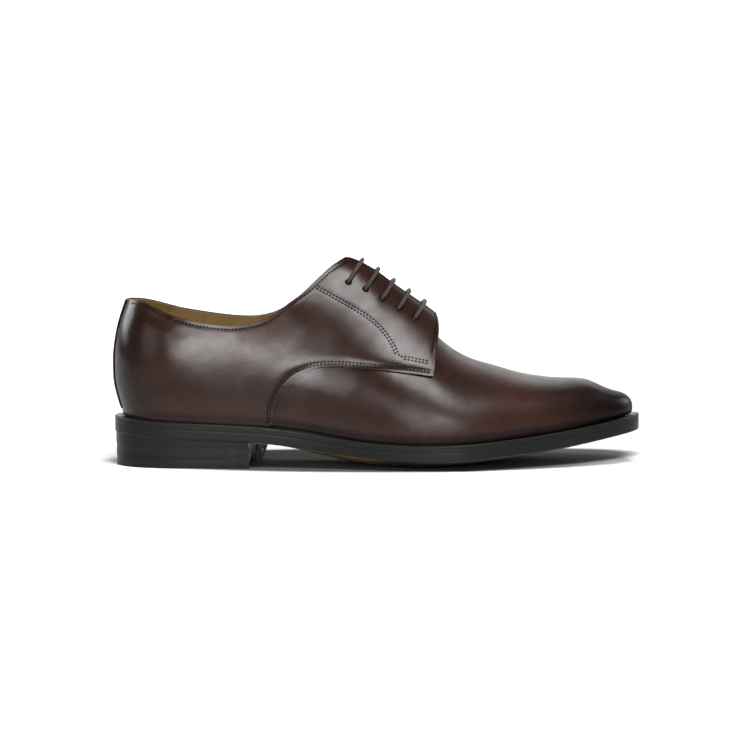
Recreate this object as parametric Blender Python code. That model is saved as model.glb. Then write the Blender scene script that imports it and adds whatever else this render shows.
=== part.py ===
"""Right derby shoe on a slim last: upper, tongue, lace, insole, welt, outsole and stacked heel.

Metres, +Z up, +X towards the toe, +Y towards the inner (medial) side. The floor is z = 0.
The origin is on the floor, in the middle of the shoe's length and width.
"""

import math

import bmesh
import bpy
import numpy as np
from mathutils import Matrix, Vector

MM = 0.001
LATERAL = -1
MEDIAL = 1

# Colours, linear red, green and blue
UPPER_BROWN = (0.09, 0.04, 0.026)
LINING_TAN = (0.55, 0.36, 0.17)
SOLE_BLACK = (0.02, 0.018, 0.017)
LACE_BROWN = (0.05, 0.024, 0.015)

# Mesh density
SOLE_STATIONS = 28
SOLE_ROWS = 8
HEEL_STATIONS = 10
HEEL_ROWS = 8
QUARTER_COLUMNS = 60
QUARTER_ROWS = 10
QUARTER_BACK = 0.36
VAMP_COLUMNS = 18
VAMP_ROWS = 22
TONGUE_COLUMNS = 12
TONGUE_ROWS = 8
LACE_BEVEL_STEPS = 1

# Sole plan
SHOE_LENGTH = 304 * MM
BALL_WIDTH = 106 * MM
HEEL_END_RADIUS = 31 * MM
TOE_END_RADIUS = 22 * MM

# Sole heights
HEEL_SEAT_HEIGHT = 28.7 * MM
TOE_SPRING_HEIGHT = 28.9 * MM
SPRING_START = 0.6
MIDSOLE_THICKNESS = 3.9 * MM
OUTSOLE_THICKNESS = 5.6 * MM
CROWN = 5.9 * MM
INSOLE_THICKNESS = 2.8 * MM
CLEARANCE = 0.3 * MM
INSOLE_GAP = 0.45 * MM
OUTSOLE_GAP = 0.4 * MM

# Heel block
BREAST_LATERAL = 78.5 * MM
BREAST_MEDIAL = 87.5 * MM
BREAST_HOLLOW = 5 * MM
HEEL_TAPER = 0.035
TOP_PIECE_THICKNESS = 6.2 * MM
HEEL_LIFT_THICKNESS = 6.4 * MM
CORNER_CUT_WIDTH = 9 * MM
CORNER_CUT_HEIGHT = 8 * MM
CORNER_CUT_SKEW = 0.8

# Upper
LAST_LENGTH = SHOE_LENGTH - 4.5 * MM
LAST_BACK = 0.9 * MM
LAST_WIDTH = BALL_WIDTH - 12.4 * MM
LAST_HEEL_RADIUS = 28 * MM
LAST_TOE_RADIUS = 19 * MM
LAST_TOE_RISE_RADIUS = 9.5 * MM
CONE_HEIGHT = 128 * MM
FEATHER_DROP = 3.0 * MM
FEATHER_TUCK = 2.4 * MM
FEATHER_SHARE = 0.08
FEATHER_TURN = math.radians(55)
UPPER_WALL = 2.5 * MM
QUARTER_STEP = 1.4 * MM
FLAP_LIFT = 11.0 * MM
THROAT_GAP = 14 * MM
FLAP_LIFT_START = 0.30
FLAP_LIFT_SPAN = 0.20
FLAP_FOOT = 0.30
FLAP_FOOT_SPAN = 0.52
TOPLINE_HEIGHT = 95.5 * MM
INSTEP_PEAK = 119.6 * MM

# Lacing and tongue
EYELET_PAIRS = 5
EYELET_HOLE = 4.2 * MM
EYELET_INSET = 24 * MM
EYELET_PIN = 12 * MM
EYELET_TOP = 0.461
EYELET_FRONT = 0.588
LACE_LEAN = 0.52
LACE_DIAMETER = 2.3 * MM
TONGUE_WALL = 2.2 * MM
TONGUE_WIDTH = 56 * MM
TONGUE_SINK = 1.5 * MM
TONGUE_SINK_SHARE = 0.4
TONGUE_ROOT_WIDTH = 0.74
TONGUE_TIP_SHARE = 0.2
TONGUE_TIP_ROUNDING = 0.5
TONGUE_TOP = 0.432
VAMP_UNDERLAP = 14 * MM
VAMP_LAP = 0.10
VAMP_TURN_IN = 0.30
VAMP_TURN_IN_SPAN = 0.30
LACE_RAISE = 0.7 * MM
LACE_BEND = 1.9 * MM

# Sole outline: share of the length, half width and centre as shares of the ball width.
SOLE_PLAN = (
    # share, half width, centre
    (0.10, 0.295, -0.002),
    (0.20, 0.314, -0.002),
    (0.28, 0.304, -0.007),
    (0.36, 0.290, -0.031),
    (0.44, 0.311, -0.061),
    (0.52, 0.370, -0.073),
    (0.60, 0.436, -0.054),
    (0.66, 0.474, -0.021),
    (0.72, 0.474, 0.017),
    (0.80, 0.424, 0.045),
    (0.88, 0.342, 0.061),
    (0.94, 0.250, 0.069),
)
TOE_CENTRE = 0.074

# Height of the welt's top at the sole's edge, and how far the middle hangs below the edge.
SOLE_PROFILE = (
    # share of the length, share of the heel seat height, share of the crown
    (0.00, 1.000, 0.00),
    (0.07, 0.941, 0.00),
    (0.16, 0.902, 0.00),
    (0.24, 0.861, 0.00),
    (0.30, 0.812, 0.14),
    (0.36, 0.728, 0.48),
    (0.42, 0.628, 0.72),
    (0.48, 0.556, 0.90),
    (0.54, 0.519, 1.00),
    (0.60, 0.512, 1.00),
    (0.66, 0.540, 0.93),
    (0.72, 0.592, 0.80),
    (0.79, 0.668, 0.64),
    (0.86, 0.766, 0.50),
    (0.93, 0.886, 0.30),
    (1.00, 1.007, 0.00),
)

# Last outline just above the welt, shares of LAST_LENGTH and LAST_WIDTH, with the ridge's line.
LAST_PLAN = (
    # share, half width, centre, ridge centre
    (0.10, 0.316, -0.002, 0.002),
    (0.20, 0.336, -0.002, 0.004),
    (0.28, 0.327, -0.008, 0.007),
    (0.36, 0.317, -0.034, 0.010),
    (0.44, 0.343, -0.068, 0.014),
    (0.52, 0.401, -0.080, 0.018),
    (0.60, 0.466, -0.060, 0.025),
    (0.66, 0.500, -0.024, 0.033),
    (0.72, 0.497, 0.018, 0.046),
    (0.80, 0.439, 0.052, 0.062),
    (0.88, 0.348, 0.070, 0.074),
    (0.94, 0.249, 0.080, 0.081),
)
LAST_TOE_CENTRE = 0.084

# Height of the last's ridge above the floor, as a share of CONE_HEIGHT.
RIDGE = (
    # share of the last's length, height
    (0.00, 1.000),
    (0.12, 1.000),
    (0.24, 1.000),
    (0.32, 0.982),
    (0.38, 0.939),
    (0.44, 0.864),
    (0.50, 0.766),
    (0.56, 0.672),
    (0.61, 0.593),
    (0.645, 0.529),
    (0.68, 0.482),
    (0.73, 0.444),
    (0.78, 0.409),
    (0.82, 0.392),
    (0.87, 0.383),
    (0.92, 0.369),
    (0.96, 0.330),
)

# How each section of the last fills out, shares of its half width and of its height.
SECTION = (
    # share of length, low width, low height, high width, high height, crest width
    (0.00, 1.22, 0.28, 1.16, 0.62, 0.62),
    (0.20, 1.17, 0.28, 1.10, 0.62, 0.55),
    (0.36, 1.12, 0.28, 1.02, 0.66, 0.42),
    (0.50, 1.08, 0.30, 0.90, 0.74, 0.32),
    (0.62, 1.08, 0.36, 0.84, 0.80, 0.34),
    (0.75, 1.06, 0.42, 0.86, 0.86, 0.42),
    (0.90, 1.03, 0.48, 0.90, 0.94, 0.50),
    (1.00, 1.02, 0.50, 0.92, 0.96, 0.52),
)
MEDIAL_FULLNESS = 1.05

# Back curve of the upper: how far it stands forward of its rearmost point.
BACK_CURVE = (
    # share of the cone height, forward share of the back's depth
    (0.20, 1.05),
    (0.25, 0.72),
    (0.31, 0.36),
    (0.37, 0.08),
    (0.44, 0.00),
    (0.51, 0.04),
    (0.58, 0.22),
    (0.65, 0.52),
    (0.74, 1.10),
    (0.85, 1.70),
    (1.00, 2.70),
)
BACK_DEPTH = 6.4 * MM
HEEL_CURVE_SHARE = 0.12

# Topline of the quarters, from the back seam to the top of the lacing.
TOPLINE = (
    # share of the shoe's length, lateral and medial height as shares of TOPLINE_HEIGHT
    (0.00, 1.000, 1.000),
    (0.04, 0.990, 0.986),
    (0.08, 0.950, 0.959),
    (0.13, 0.900, 0.925),
    (0.18, 0.866, 0.898),
    (0.22, 0.854, 0.882),
    (0.26, 0.866, 0.878),
    (0.30, 0.912, 0.903),
    (0.335, 0.990, 0.966),
    (0.370, 1.070, 1.064),
    (0.400, 1.158, 1.154),
    (0.420, 1.206, 1.206),
    (0.438, 1.236, 1.240),
)

# Edge of the flaps along the throat, from the top of the lacing to the front corner.
THROAT = (
    # share of the shoe's length, height as a share of INSTEP_PEAK
    (0.440, 1.000),
    (0.463, 0.978),
    (0.486, 0.945),
    (0.509, 0.909),
    (0.543, 0.846),
    (0.579, 0.783),
    (0.596, 0.750),
)

# Front edge of the flap, from the throat down to its lower corner.
FLAP_FRONT = (
    # share of the shoe's length, height as a share of INSTEP_PEAK
    (0.6040, 0.742),
    (0.6105, 0.717),
    (0.6135, 0.678),
    (0.6140, 0.639),
    (0.6115, 0.595),
    (0.6080, 0.522),
)

# Front seam of the quarter on the vamp, from the sole up to the flap's lower corner.
FRONT_SEAM = (
    # share of the shoe's length, height above the floor in shares of INSTEP_PEAK
    (0.2985, 0.180),
    (0.3010, 0.248),
    (0.3060, 0.300),
    (0.3130, 0.345),
    (0.3240, 0.392),
    (0.3400, 0.434),
    (0.3600, 0.461),
    (0.3850, 0.481),
    (0.4150, 0.488),
    (0.4650, 0.482),
    (0.5150, 0.472),
    (0.5600, 0.460),
    (0.6040, 0.445),
)


def spline(at, xs, ys):
    """Natural cubic spline through the points (xs, ys), read at the values at."""
    xs = np.asarray(xs, float)
    ys = np.asarray(ys, float)
    at = np.asarray(at, float)
    gap = np.diff(xs)
    slope = np.diff(ys) / gap
    count = len(xs)
    system = np.eye(count)
    right = np.zeros(count)
    for i in range(1, count - 1):
        system[i, i - 1 : i + 2] = gap[i - 1], 2 * (gap[i - 1] + gap[i]), gap[i]
        right[i] = 6 * (slope[i] - slope[i - 1])
    bend = np.linalg.solve(system, right)
    i = np.clip(np.searchsorted(xs, at) - 1, 0, count - 2)
    a = (xs[i + 1] - at) / gap[i]
    b = 1 - a
    curve = (a**3 - a) * bend[i] + (b**3 - b) * bend[i + 1]
    return a * ys[i] + b * ys[i + 1] + curve * gap[i] ** 2 / 6


def column(table, number):
    return [row[number] for row in table]


def end_rounding(share, table, number, width, length, radii):
    """Half width of an outline whose two ends are round, with the radii of the heel and the toe."""
    shares = np.array(column(table, 0))
    halves = np.array(column(table, number)) * width
    full = halves / np.sqrt(shares * (1 - shares))
    ends = [math.sqrt(2 * radius * length) for radius in radii]
    knots = np.concatenate([[0], shares, [1]])
    values = np.concatenate([[ends[0]], full, [ends[1]]])
    share = np.clip(share, 0, 1)
    return np.sqrt(share * (1 - share)) * spline(share, knots, values)


def centre_line(share, table, number, toe, width):
    shares = [0, *column(table, 0), 1]
    values = [0, *column(table, number), toe]
    return spline(share, shares, values) * width


def sole_half(share):
    return end_rounding(share, SOLE_PLAN, 1, BALL_WIDTH, SHOE_LENGTH, (HEEL_END_RADIUS, TOE_END_RADIUS))


def sole_centre(share):
    return centre_line(share, SOLE_PLAN, 2, TOE_CENTRE, BALL_WIDTH)


def widest_middle():
    """Middle of the sole's width, which the origin is set to."""
    shares = np.linspace(0, 1, 2001)
    high = (sole_centre(shares) + sole_half(shares)).max()
    low = (sole_centre(shares) - sole_half(shares)).min()
    return (high + low) / 2


def sole_top(share, across):
    """Height of the welt's top at a share of the length and across, -1 to 1, of the half width."""
    shares = column(SOLE_PROFILE, 0)
    spring = np.clip((np.asarray(share) - SPRING_START) / (1 - SPRING_START), 0, 1)
    tall = HEEL_SEAT_HEIGHT + (TOE_SPRING_HEIGHT - HEEL_SEAT_HEIGHT) * spring
    edge = spline(share, shares, column(SOLE_PROFILE, 1)) * tall
    drop = spline(share, shares, column(SOLE_PROFILE, 2)) * CROWN
    return edge - np.maximum(drop, 0) * (1 - np.minimum(np.abs(across), 1) ** 2)


def share_of(x):
    return np.clip(x / SHOE_LENGTH, 0, 1)


def across_of(x, y):
    half = np.maximum(sole_half(share_of(x)), 1e-6)
    return np.clip((y - sole_centre(share_of(x))) / half, -1, 1)


def back_of(height):
    shares = column(BACK_CURVE, 0)
    reach = np.clip(height / CONE_HEIGHT, shares[0], shares[-1])
    return LAST_BACK + spline(reach, shares, column(BACK_CURVE, 1)) * BACK_DEPTH


def bezier(t, points):
    """Point at t on the curve of five control points."""
    weights = [math.comb(4, i) * (1 - t) ** (4 - i) * t**i for i in range(5)]
    return sum(weight * point for weight, point in zip(weights, points))


def last_surface(turn, rise, side, lifted):
    """Point of the last at turn, 0 at the heel's back to pi at the toe, and rise, 0 to 1 at the ridge.

    lifted is 1 where the surface is a quarter's, which stands off the last along the throat.
    """
    share = (1 - np.cos(turn)) / 2
    plan = [0, *column(LAST_PLAN, 0), 1]
    half = end_rounding(share, LAST_PLAN, 1, LAST_WIDTH, LAST_LENGTH, (LAST_HEEL_RADIUS, LAST_TOE_RADIUS))
    foot_y = spline(share, plan, [0, *column(LAST_PLAN, 2), LAST_TOE_CENTRE]) * LAST_WIDTH
    ridge_y = spline(share, plan, [0, *column(LAST_PLAN, 3), LAST_TOE_CENTRE]) * LAST_WIDTH
    x_guess = LAST_BACK + LAST_LENGTH * share
    foot_z = sole_top(share_of(x_guess), 1.0) + CLEARANCE + FEATHER_DROP
    height = ridge_height(share) - foot_z
    shape = [spline(share, column(SECTION, 0), column(SECTION, i)) for i in range(1, 6)]
    fuller = np.where(side > 0, 1 + (MEDIAL_FULLNESS - 1) * np.sin(turn) ** 4, 1.0)
    level = np.clip(rise, 0, 1)
    widths = (half, half * shape[0], half * shape[2] * fuller, half * shape[4], half * 0)
    rises = (height * 0, height * shape[1], height * shape[3], height, height)
    out = bezier(level, widths)
    up = bezier(level, rises)
    lean = up / np.maximum(height, 1e-6)
    y = foot_y + (ridge_y - foot_y) * lean**1.3 + side * out
    z = foot_z + up
    z = z + lifted * FLAP_LIFT * flap_share(share) * ease((level - FLAP_FOOT) / FLAP_FOOT_SPAN)
    toe = LAST_BACK + LAST_LENGTH
    back = back_of(z)
    x = back + (toe - back) * share
    return np.stack(np.broadcast_arrays(x, y, z), axis=-1)


def ridge_height(share):
    """Height of the ridge, which rounds down to the welt at the toe."""
    toe_foot = sole_top(1.0, 1.0) + CLEARANCE + FEATHER_DROP
    shares = np.array(column(RIDGE, 0))
    foot = sole_top(shares, 1.0) + CLEARANCE + FEATHER_DROP
    high = np.array(column(RIDGE, 1)) * CONE_HEIGHT - foot
    full = high / np.sqrt(1 - shares)
    knots = np.append(shares, 1.0)
    values = np.append(full, math.sqrt(2 * LAST_TOE_RISE_RADIUS * LAST_LENGTH))
    share = np.clip(share, 0, 1)
    foot_here = np.where(share < 1, sole_top(share, 1.0) + CLEARANCE + FEATHER_DROP, toe_foot)
    return foot_here + np.sqrt(1 - share) * spline(share, knots, values)


def ease(t):
    t = np.clip(t, 0, 1)
    return t * t * (3 - 2 * t)


def flap_share(share):
    """How much of the flaps' lift a station has: none at the ankle, all of it along the lacing."""
    return ease((share - FLAP_LIFT_START) / FLAP_LIFT_SPAN)


def upper_point(turn, rise, side, lifted=0.0, off=0.0):
    """Point at a distance off, outwards, from the upper's outer surface. A rise under 0 is the tuck."""
    turn, rise, side = np.broadcast_arrays(
        np.asarray(turn, float), np.asarray(rise, float), np.asarray(side, float)
    )
    level = np.clip(rise, 0, 1)
    step = 2e-3
    inside = np.clip(turn, 3 * step, math.pi - 20 * step)
    low = np.clip(level, step, 1 - 12 * step)
    along = last_surface(inside + step, low, side, lifted)
    along -= last_surface(inside - step, low, side, lifted)
    climb = last_surface(inside, low + step, side, lifted)
    climb -= last_surface(inside, low - step, side, lifted)
    normal = np.cross(climb, along) * side[..., None]
    centre_ends = (turn < 3 * step) | (turn > math.pi - 3 * step)
    normal[..., 1] = np.where(centre_ends, 0, normal[..., 1])
    on_ridge = level > 1 - step
    if np.ndim(lifted) or lifted < 0.5:
        normal[..., 1] = np.where(on_ridge, 0, normal[..., 1])
    normal /= np.linalg.norm(normal, axis=-1, keepdims=True)
    point = last_surface(turn, level, side, lifted) + normal * np.asarray(off)[..., None]
    sink = np.clip(-rise / FEATHER_SHARE, 0, 1) * FEATHER_TURN
    flat = normal * [1, 1, 0]
    flat /= np.linalg.norm(flat, axis=-1, keepdims=True)
    point = point - flat * (FEATHER_TUCK * (1 - np.cos(sink)))[..., None]
    point[..., 2] -= FEATHER_DROP * np.sin(sink) / math.sin(FEATHER_TURN)
    return point


def turn_at(x, height):
    """Turn whose point at that height stands at x."""
    back = back_of(height)
    share = (x - back) / (LAST_BACK + LAST_LENGTH - back)
    return np.arccos(1 - 2 * np.clip(share, 0, 1))


def rise_at(turn, height, side, lifted):
    """Rise at which the surface reaches a height, for each turn."""
    levels = np.linspace(0, 1, 241)
    found = []
    for one_turn, one_height in zip(np.atleast_1d(turn), np.atleast_1d(height)):
        heights = last_surface(np.full(241, one_turn), levels, np.full(241, float(side)), lifted)[:, 2]
        found.append(np.interp(one_height, heights, levels))
    return np.array(found)


def rise_at_reach(turn, side, reach, lifted):
    """Rise at a distance down the surface from the ridge's line, for each turn."""
    levels = np.linspace(1, 0.3, 241)
    found = []
    for one_turn in np.atleast_1d(turn):
        points = last_surface(np.full(241, one_turn), levels, np.full(241, float(side)), lifted)
        run = np.concatenate([[0], np.cumsum(np.linalg.norm(np.diff(points, axis=0), axis=1))])
        found.append(np.interp(reach, run, levels))
    return np.array(found)


def evenly(points, count):
    """count points spread evenly along a line of points."""
    points = np.asarray(points, float)
    steps = np.linalg.norm(np.diff(points, axis=0), axis=1)
    run = np.concatenate([[0], np.cumsum(steps)])
    at = np.linspace(0, run[-1], count)
    return np.stack([np.interp(at, run, points[:, i]) for i in range(points.shape[1])], axis=1)


def quarter_edges(side):
    """Lower and upper edges of a quarter as rows of (turn, rise): its back part, then its front part."""
    number = 1 if side == LATERAL else 2
    fine = np.linspace(0, TOPLINE[-1][0], 60)
    heights = spline(fine, column(TOPLINE, 0), column(TOPLINE, number)) * TOPLINE_HEIGHT
    back = back_of(TOPLINE_HEIGHT) * np.clip(1 - fine / HEEL_CURVE_SHARE, 0, 1)
    turns = turn_at(back + fine * SHOE_LENGTH, heights)
    gap_rises = rise_at_reach(turns, side, THROAT_GAP / 2, 1.0)
    top = np.stack([turns, np.minimum(rise_at(turns, heights, side, 1.0), gap_rises)], axis=1)
    split = int(np.searchsorted(fine, FRONT_SEAM[0][0] - 0.07))
    throat_shares = np.linspace(THROAT[0][0], THROAT[-1][0], 24)
    throat_turns = turn_at(throat_shares * SHOE_LENGTH, INSTEP_PEAK * 0.85)
    throat = np.stack([throat_turns, rise_at_reach(throat_turns, side, THROAT_GAP / 2, 1.0)], axis=1)
    front_heights = np.array(column(FLAP_FRONT, 1)) * INSTEP_PEAK
    front_turns = turn_at(np.array(column(FLAP_FRONT, 0)) * SHOE_LENGTH, front_heights)
    front_rises = rise_at(front_turns, front_heights, side, 1.0)
    gap_rises = rise_at_reach(front_turns, side, THROAT_GAP / 2, 1.0)
    front = np.stack([front_turns, np.minimum(front_rises, gap_rises)], axis=1)
    seam_shares = np.linspace(FRONT_SEAM[0][0], FRONT_SEAM[-1][0], 60)
    seam_heights = spline(seam_shares, column(FRONT_SEAM, 0), column(FRONT_SEAM, 1)) * INSTEP_PEAK
    seam_turns = turn_at(seam_shares * SHOE_LENGTH, seam_heights)
    seam = np.stack([seam_turns, rise_at(seam_turns, seam_heights, side, 1.0)], axis=1)
    seam[0, 1] = -FEATHER_SHARE
    foot_turns = np.linspace(0, seam_turns[0], 30)
    foot = np.stack([foot_turns, np.full(30, -FEATHER_SHARE)], axis=1)
    return (foot, top[: split + 1]), (seam, np.concatenate([top[split:], throat, front]))


def grid_mesh(columns, rows, place):
    """Grid of columns by rows faces whose corner at (u, v), each 0 to 1, goes to place(u, v)."""
    made = bmesh.new()
    bmesh.ops.create_grid(made, x_segments=columns, y_segments=rows, size=0.5)
    flat = np.array([corner.co[:] for corner in made.verts])
    for corner, point in zip(made.verts, place(flat[:, 0] + 0.5, flat[:, 1] + 0.5)):
        corner.co = point
    return made


def object_from(made, name, colour, roughness, merge=1e-6):
    """Object of a mesh, with its own material, moved so that the origin is at the sole's middle."""
    bmesh.ops.remove_doubles(made, verts=made.verts, dist=merge)
    bmesh.ops.dissolve_degenerate(made, edges=made.edges, dist=1e-7)
    middle = Vector((-SHOE_LENGTH / 2, -widest_middle(), 0))
    bmesh.ops.translate(made, vec=middle, verts=made.verts)
    bmesh.ops.recalc_face_normals(made, faces=made.faces)
    mesh = bpy.data.meshes.new(name)
    made.to_mesh(mesh)
    made.free()
    mesh.shade_smooth()
    mesh.set_sharp_from_angle(angle=math.radians(35))
    material = bpy.data.materials.new(name)
    material.use_nodes = True
    shader = material.node_tree.nodes["Principled BSDF"]
    shader.inputs["Base Color"].default_value = (*colour, 1)
    shader.inputs["Roughness"].default_value = roughness
    shader.inputs["Metallic"].default_value = 0
    mesh.materials.append(material)
    made_object = bpy.data.objects.new(name, mesh)
    bpy.context.scene.collection.objects.link(made_object)
    return made_object


def thicken(made, top):
    """Turns an open sheet into a solid: its copy goes to top(x, y, z) and the rim is walled."""
    bmesh.ops.triangulate(made, faces=made.faces[:], quad_method="FIXED")
    found = bmesh.ops.extrude_face_region(made, geom=made.faces[:])
    moved = [item for item in found["geom"] if isinstance(item, bmesh.types.BMVert)]
    points = np.array([corner.co[:] for corner in moved])
    for corner, point in zip(moved, top(points)):
        corner.co = point


def sole_layer(name, bottom_drop, top_drop):
    """Layer of the sole between two depths under its top. It is cut off flat where it meets the floor."""

    def height(points, drop):
        share = share_of(points[:, 0])
        across = across_of(points[:, 0], points[:, 1])
        across = np.where((share < 1e-6) | (share > 1 - 1e-6), 1.0, across)
        return np.maximum(sole_top(share, across) - drop, 0)

    def bottom(u, v):
        share = (1 - np.cos(u * math.pi)) / 2
        y = sole_centre(share) + (2 * v - 1) * sole_half(share)
        points = np.stack([share * SHOE_LENGTH, y, y * 0], axis=1)
        points[:, 2] = height(points, bottom_drop)
        return points

    def top(points):
        return np.stack([points[:, 0], points[:, 1], height(points, top_drop)], axis=1)

    made = grid_mesh(SOLE_STATIONS, SOLE_ROWS, bottom)
    bmesh.ops.remove_doubles(made, verts=made.verts, dist=1e-6)
    thicken(made, top)
    return object_from(made, name, SOLE_BLACK, 0.35)


def insole():
    """Board under the foot, inside the upper's tucked edge, hung to the sole's hollow."""

    def board(u, v):
        inside = -UPPER_WALL - 2 * CLEARANCE
        near = upper_point(u * math.pi, -FEATHER_SHARE, LATERAL, 0.0, inside)
        far = upper_point(u * math.pi, -FEATHER_SHARE, MEDIAL, 0.0, inside)
        points = near + (far - near) * v[:, None]
        across = across_of(points[:, 0], points[:, 1])
        points[:, 2] = sole_top(share_of(points[:, 0]), across) + INSOLE_GAP
        return points

    made = grid_mesh(SOLE_STATIONS, SOLE_ROWS, board)
    bmesh.ops.remove_doubles(made, verts=made.verts, dist=1e-6)
    thicken(made, lambda points: points + [0, 0, INSOLE_THICKNESS])
    return object_from(made, "insole", LINING_TAN, 0.6)


def heel_layer(name, low, high):
    """One layer of the heel between two heights. A high of None is the outsole's underside."""

    def breast(v):
        slant = BREAST_LATERAL + (BREAST_MEDIAL - BREAST_LATERAL) * v
        return slant - BREAST_HOLLOW * (1 - (2 * v - 1) ** 2)

    def bottom(u, v):
        share = (1 - np.cos(u * math.pi / 2)) * breast(v) / SHOE_LENGTH
        taper = 1 - HEEL_TAPER * (1 - low / HEEL_SEAT_HEIGHT)
        y = sole_centre(share) + (2 * v - 1) * sole_half(share) * taper
        x = share * SHOE_LENGTH + (1 - taper) * HEEL_END_RADIUS * np.cos(u * math.pi / 2)
        return np.stack([x, y, np.full(len(u), low)], axis=1)

    def top(points):
        raised = points.copy()
        if high is not None:
            raised[:, 2] = high
        else:
            under = sole_top(share_of(points[:, 0]), across_of(points[:, 0], points[:, 1]))
            raised[:, 2] = under - MIDSOLE_THICKNESS - OUTSOLE_THICKNESS - OUTSOLE_GAP
        return raised

    made = grid_mesh(HEEL_STATIONS, HEEL_ROWS, bottom)
    bmesh.ops.remove_doubles(made, verts=made.verts, dist=1e-6)
    thicken(made, top)
    bmesh.ops.recalc_face_normals(made, faces=made.faces)
    breast_share = BREAST_MEDIAL / SHOE_LENGTH
    corner = Vector((BREAST_MEDIAL, sole_centre(breast_share) + sole_half(breast_share), 0))
    slope = Vector((1, CORNER_CUT_SKEW, -CORNER_CUT_WIDTH / CORNER_CUT_HEIGHT)).normalized()
    bmesh.ops.bisect_plane(
        made,
        geom=[*made.verts, *made.edges, *made.faces],
        plane_co=corner - Vector((CORNER_CUT_WIDTH, 0, 0)),
        plane_no=slope,
        clear_outer=True,
    )
    open_edges = [edge for edge in made.edges if edge.is_boundary]
    if open_edges:
        bmesh.ops.holes_fill(made, edges=open_edges)
    return object_from(made, name, SOLE_BLACK, 0.4)


def leather(columns, rows, coordinates, outer, thickness, closed_end=False):
    """Sheet of the upper with its wall. coordinates(u, v) gives turn, rise, side and lift at each corner.

    With closed_end the last column is the toe's tip, where the two sides meet and need no edge.
    """
    made = bmesh.new()
    bmesh.ops.create_grid(made, x_segments=columns, y_segments=rows, size=0.5)
    bmesh.ops.triangulate(made, faces=made.faces[:])
    outside = made.verts[:]
    found = bmesh.ops.extrude_face_region(made, geom=made.faces[:])
    inside = [item for item in found["geom"] if isinstance(item, bmesh.types.BMVert)]
    if closed_end:
        tip = [face for face in made.faces if min(corner.co.x for corner in face.verts) > 0.5 - 1e-6]
        bmesh.ops.delete(made, geom=tip, context="FACES")
    for corners, off in ((outside, outer), (inside, outer - thickness)):
        flat = np.array([corner.co[:] for corner in corners]) + 0.5
        turn, rise, side, lift = coordinates(flat[:, 0], flat[:, 1])
        for corner, point in zip(corners, upper_point(turn, rise, side, lift, off)):
            corner.co = point
    return made


def quarters_sheet():
    """Both quarters as one sheet round the heel, from one flap's front edge to the other's."""
    edges = {
        side: [[evenly(edge, 61) for edge in part] for part in quarter_edges(side)]
        for side in (LATERAL, MEDIAL)
    }

    def coordinates(u, v):
        side = np.where(u < 0.5, LATERAL, MEDIAL)
        along = np.abs(2 * u - 1)
        at = np.linspace(0, 1, 61)
        turn_and_rise = np.empty((2, len(u)))
        for one in (LATERAL, MEDIAL):
            for part in (0, 1):
                picked = (side == one) & ((along > QUARTER_BACK) == bool(part))
                start, span = (QUARTER_BACK, 1 - QUARTER_BACK) if part else (0, QUARTER_BACK)
                here = (along[picked] - start) / span
                for i in (0, 1):
                    low, high = (np.interp(here, at, edge[:, i]) for edge in edges[one][part])
                    turn_and_rise[i, picked] = low + (high - low) * v[picked]
        return turn_and_rise[0], turn_and_rise[1], side, np.ones(len(u))

    made = leather(QUARTER_COLUMNS, QUARTER_ROWS, coordinates, QUARTER_STEP, UPPER_WALL)
    return object_from(made, "upper", UPPER_BROWN, 0.3)


def vamp_sheet():
    """The vamp as one sheet over the forefoot, from under one quarter to under the other."""
    seam = quarter_edges(LATERAL)[1][0]
    rear = vamp_rear_turn()

    def coordinates(u, v):
        wide = (2 * v - 1) * (1 + FEATHER_SHARE)
        side = np.where(wide < 0, LATERAL, MEDIAL)
        rise = 1 - np.abs(wide)
        under = np.interp(rise, seam[:20, 1], seam[:20, 0]) - VAMP_LAP
        reach = ease((rise - VAMP_TURN_IN) / VAMP_TURN_IN_SPAN)
        start = under + (rear - under) * reach
        return start + (math.pi - start) * u, rise, side, np.zeros(len(u))

    made = leather(VAMP_COLUMNS, VAMP_ROWS, coordinates, 0.0, UPPER_WALL, closed_end=True)
    return object_from(made, "vamp_form", UPPER_BROWN, 0.3)


def hide(helper):
    helper.hide_render = True
    helper.display_type = "WIRE"


def vamp_rear_turn():
    """Turn of the vamp's rear edge under the flaps, where the tongue begins."""
    return float(turn_at(THROAT[-1][0] * SHOE_LENGTH - VAMP_UNDERLAP, INSTEP_PEAK * 0.7))


def eyelet_stations():
    """Where each crossing of the lace meets the ridge's line, from the top pair down."""
    return np.linspace(EYELET_TOP, EYELET_FRONT, EYELET_PAIRS) * SHOE_LENGTH


def flap_point(station, side, reach, off):
    """Point and outward direction on a flap, at a distance from the ridge's line."""
    turn = turn_at(station, INSTEP_PEAK * 0.8)
    rise = 1.0
    crest = last_surface(turn, 1.0, float(side), 1.0)[2]
    for _ in range(4):
        drop = crest - last_surface(turn, rise, float(side), 1.0)[2]
        turn = turn_at(station - LACE_LEAN * drop, INSTEP_PEAK * 0.8)
        rise = float(rise_at_reach(turn, side, reach, 1.0)[0])
    low = upper_point(turn, rise, side, 1.0, off - 1 * MM)
    high = upper_point(turn, rise, side, 1.0, off + 1 * MM)
    return (low + high) / 2, (high - low) / np.linalg.norm(high - low)


def eyelet_cutter():
    """Pins through every eyelet, which the upper is cut with."""
    made = bmesh.new()
    for side in (LATERAL, MEDIAL):
        for station in eyelet_stations():
            centre, outward = flap_point(station, side, EYELET_INSET, QUARTER_STEP)
            turned = Vector(outward).to_track_quat("Z", "Y").to_matrix().to_4x4()
            spot = Matrix.Translation(Vector(centre)) @ turned
            bmesh.ops.create_cone(
                made,
                cap_ends=True,
                segments=12,
                radius1=EYELET_HOLE / 2,
                radius2=EYELET_HOLE / 2,
                depth=EYELET_PIN,
                matrix=spot,
            )
    cutter = object_from(made, "eyelet_pins", SOLE_BLACK, 0.5)
    hide(cutter)
    return cutter


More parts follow.
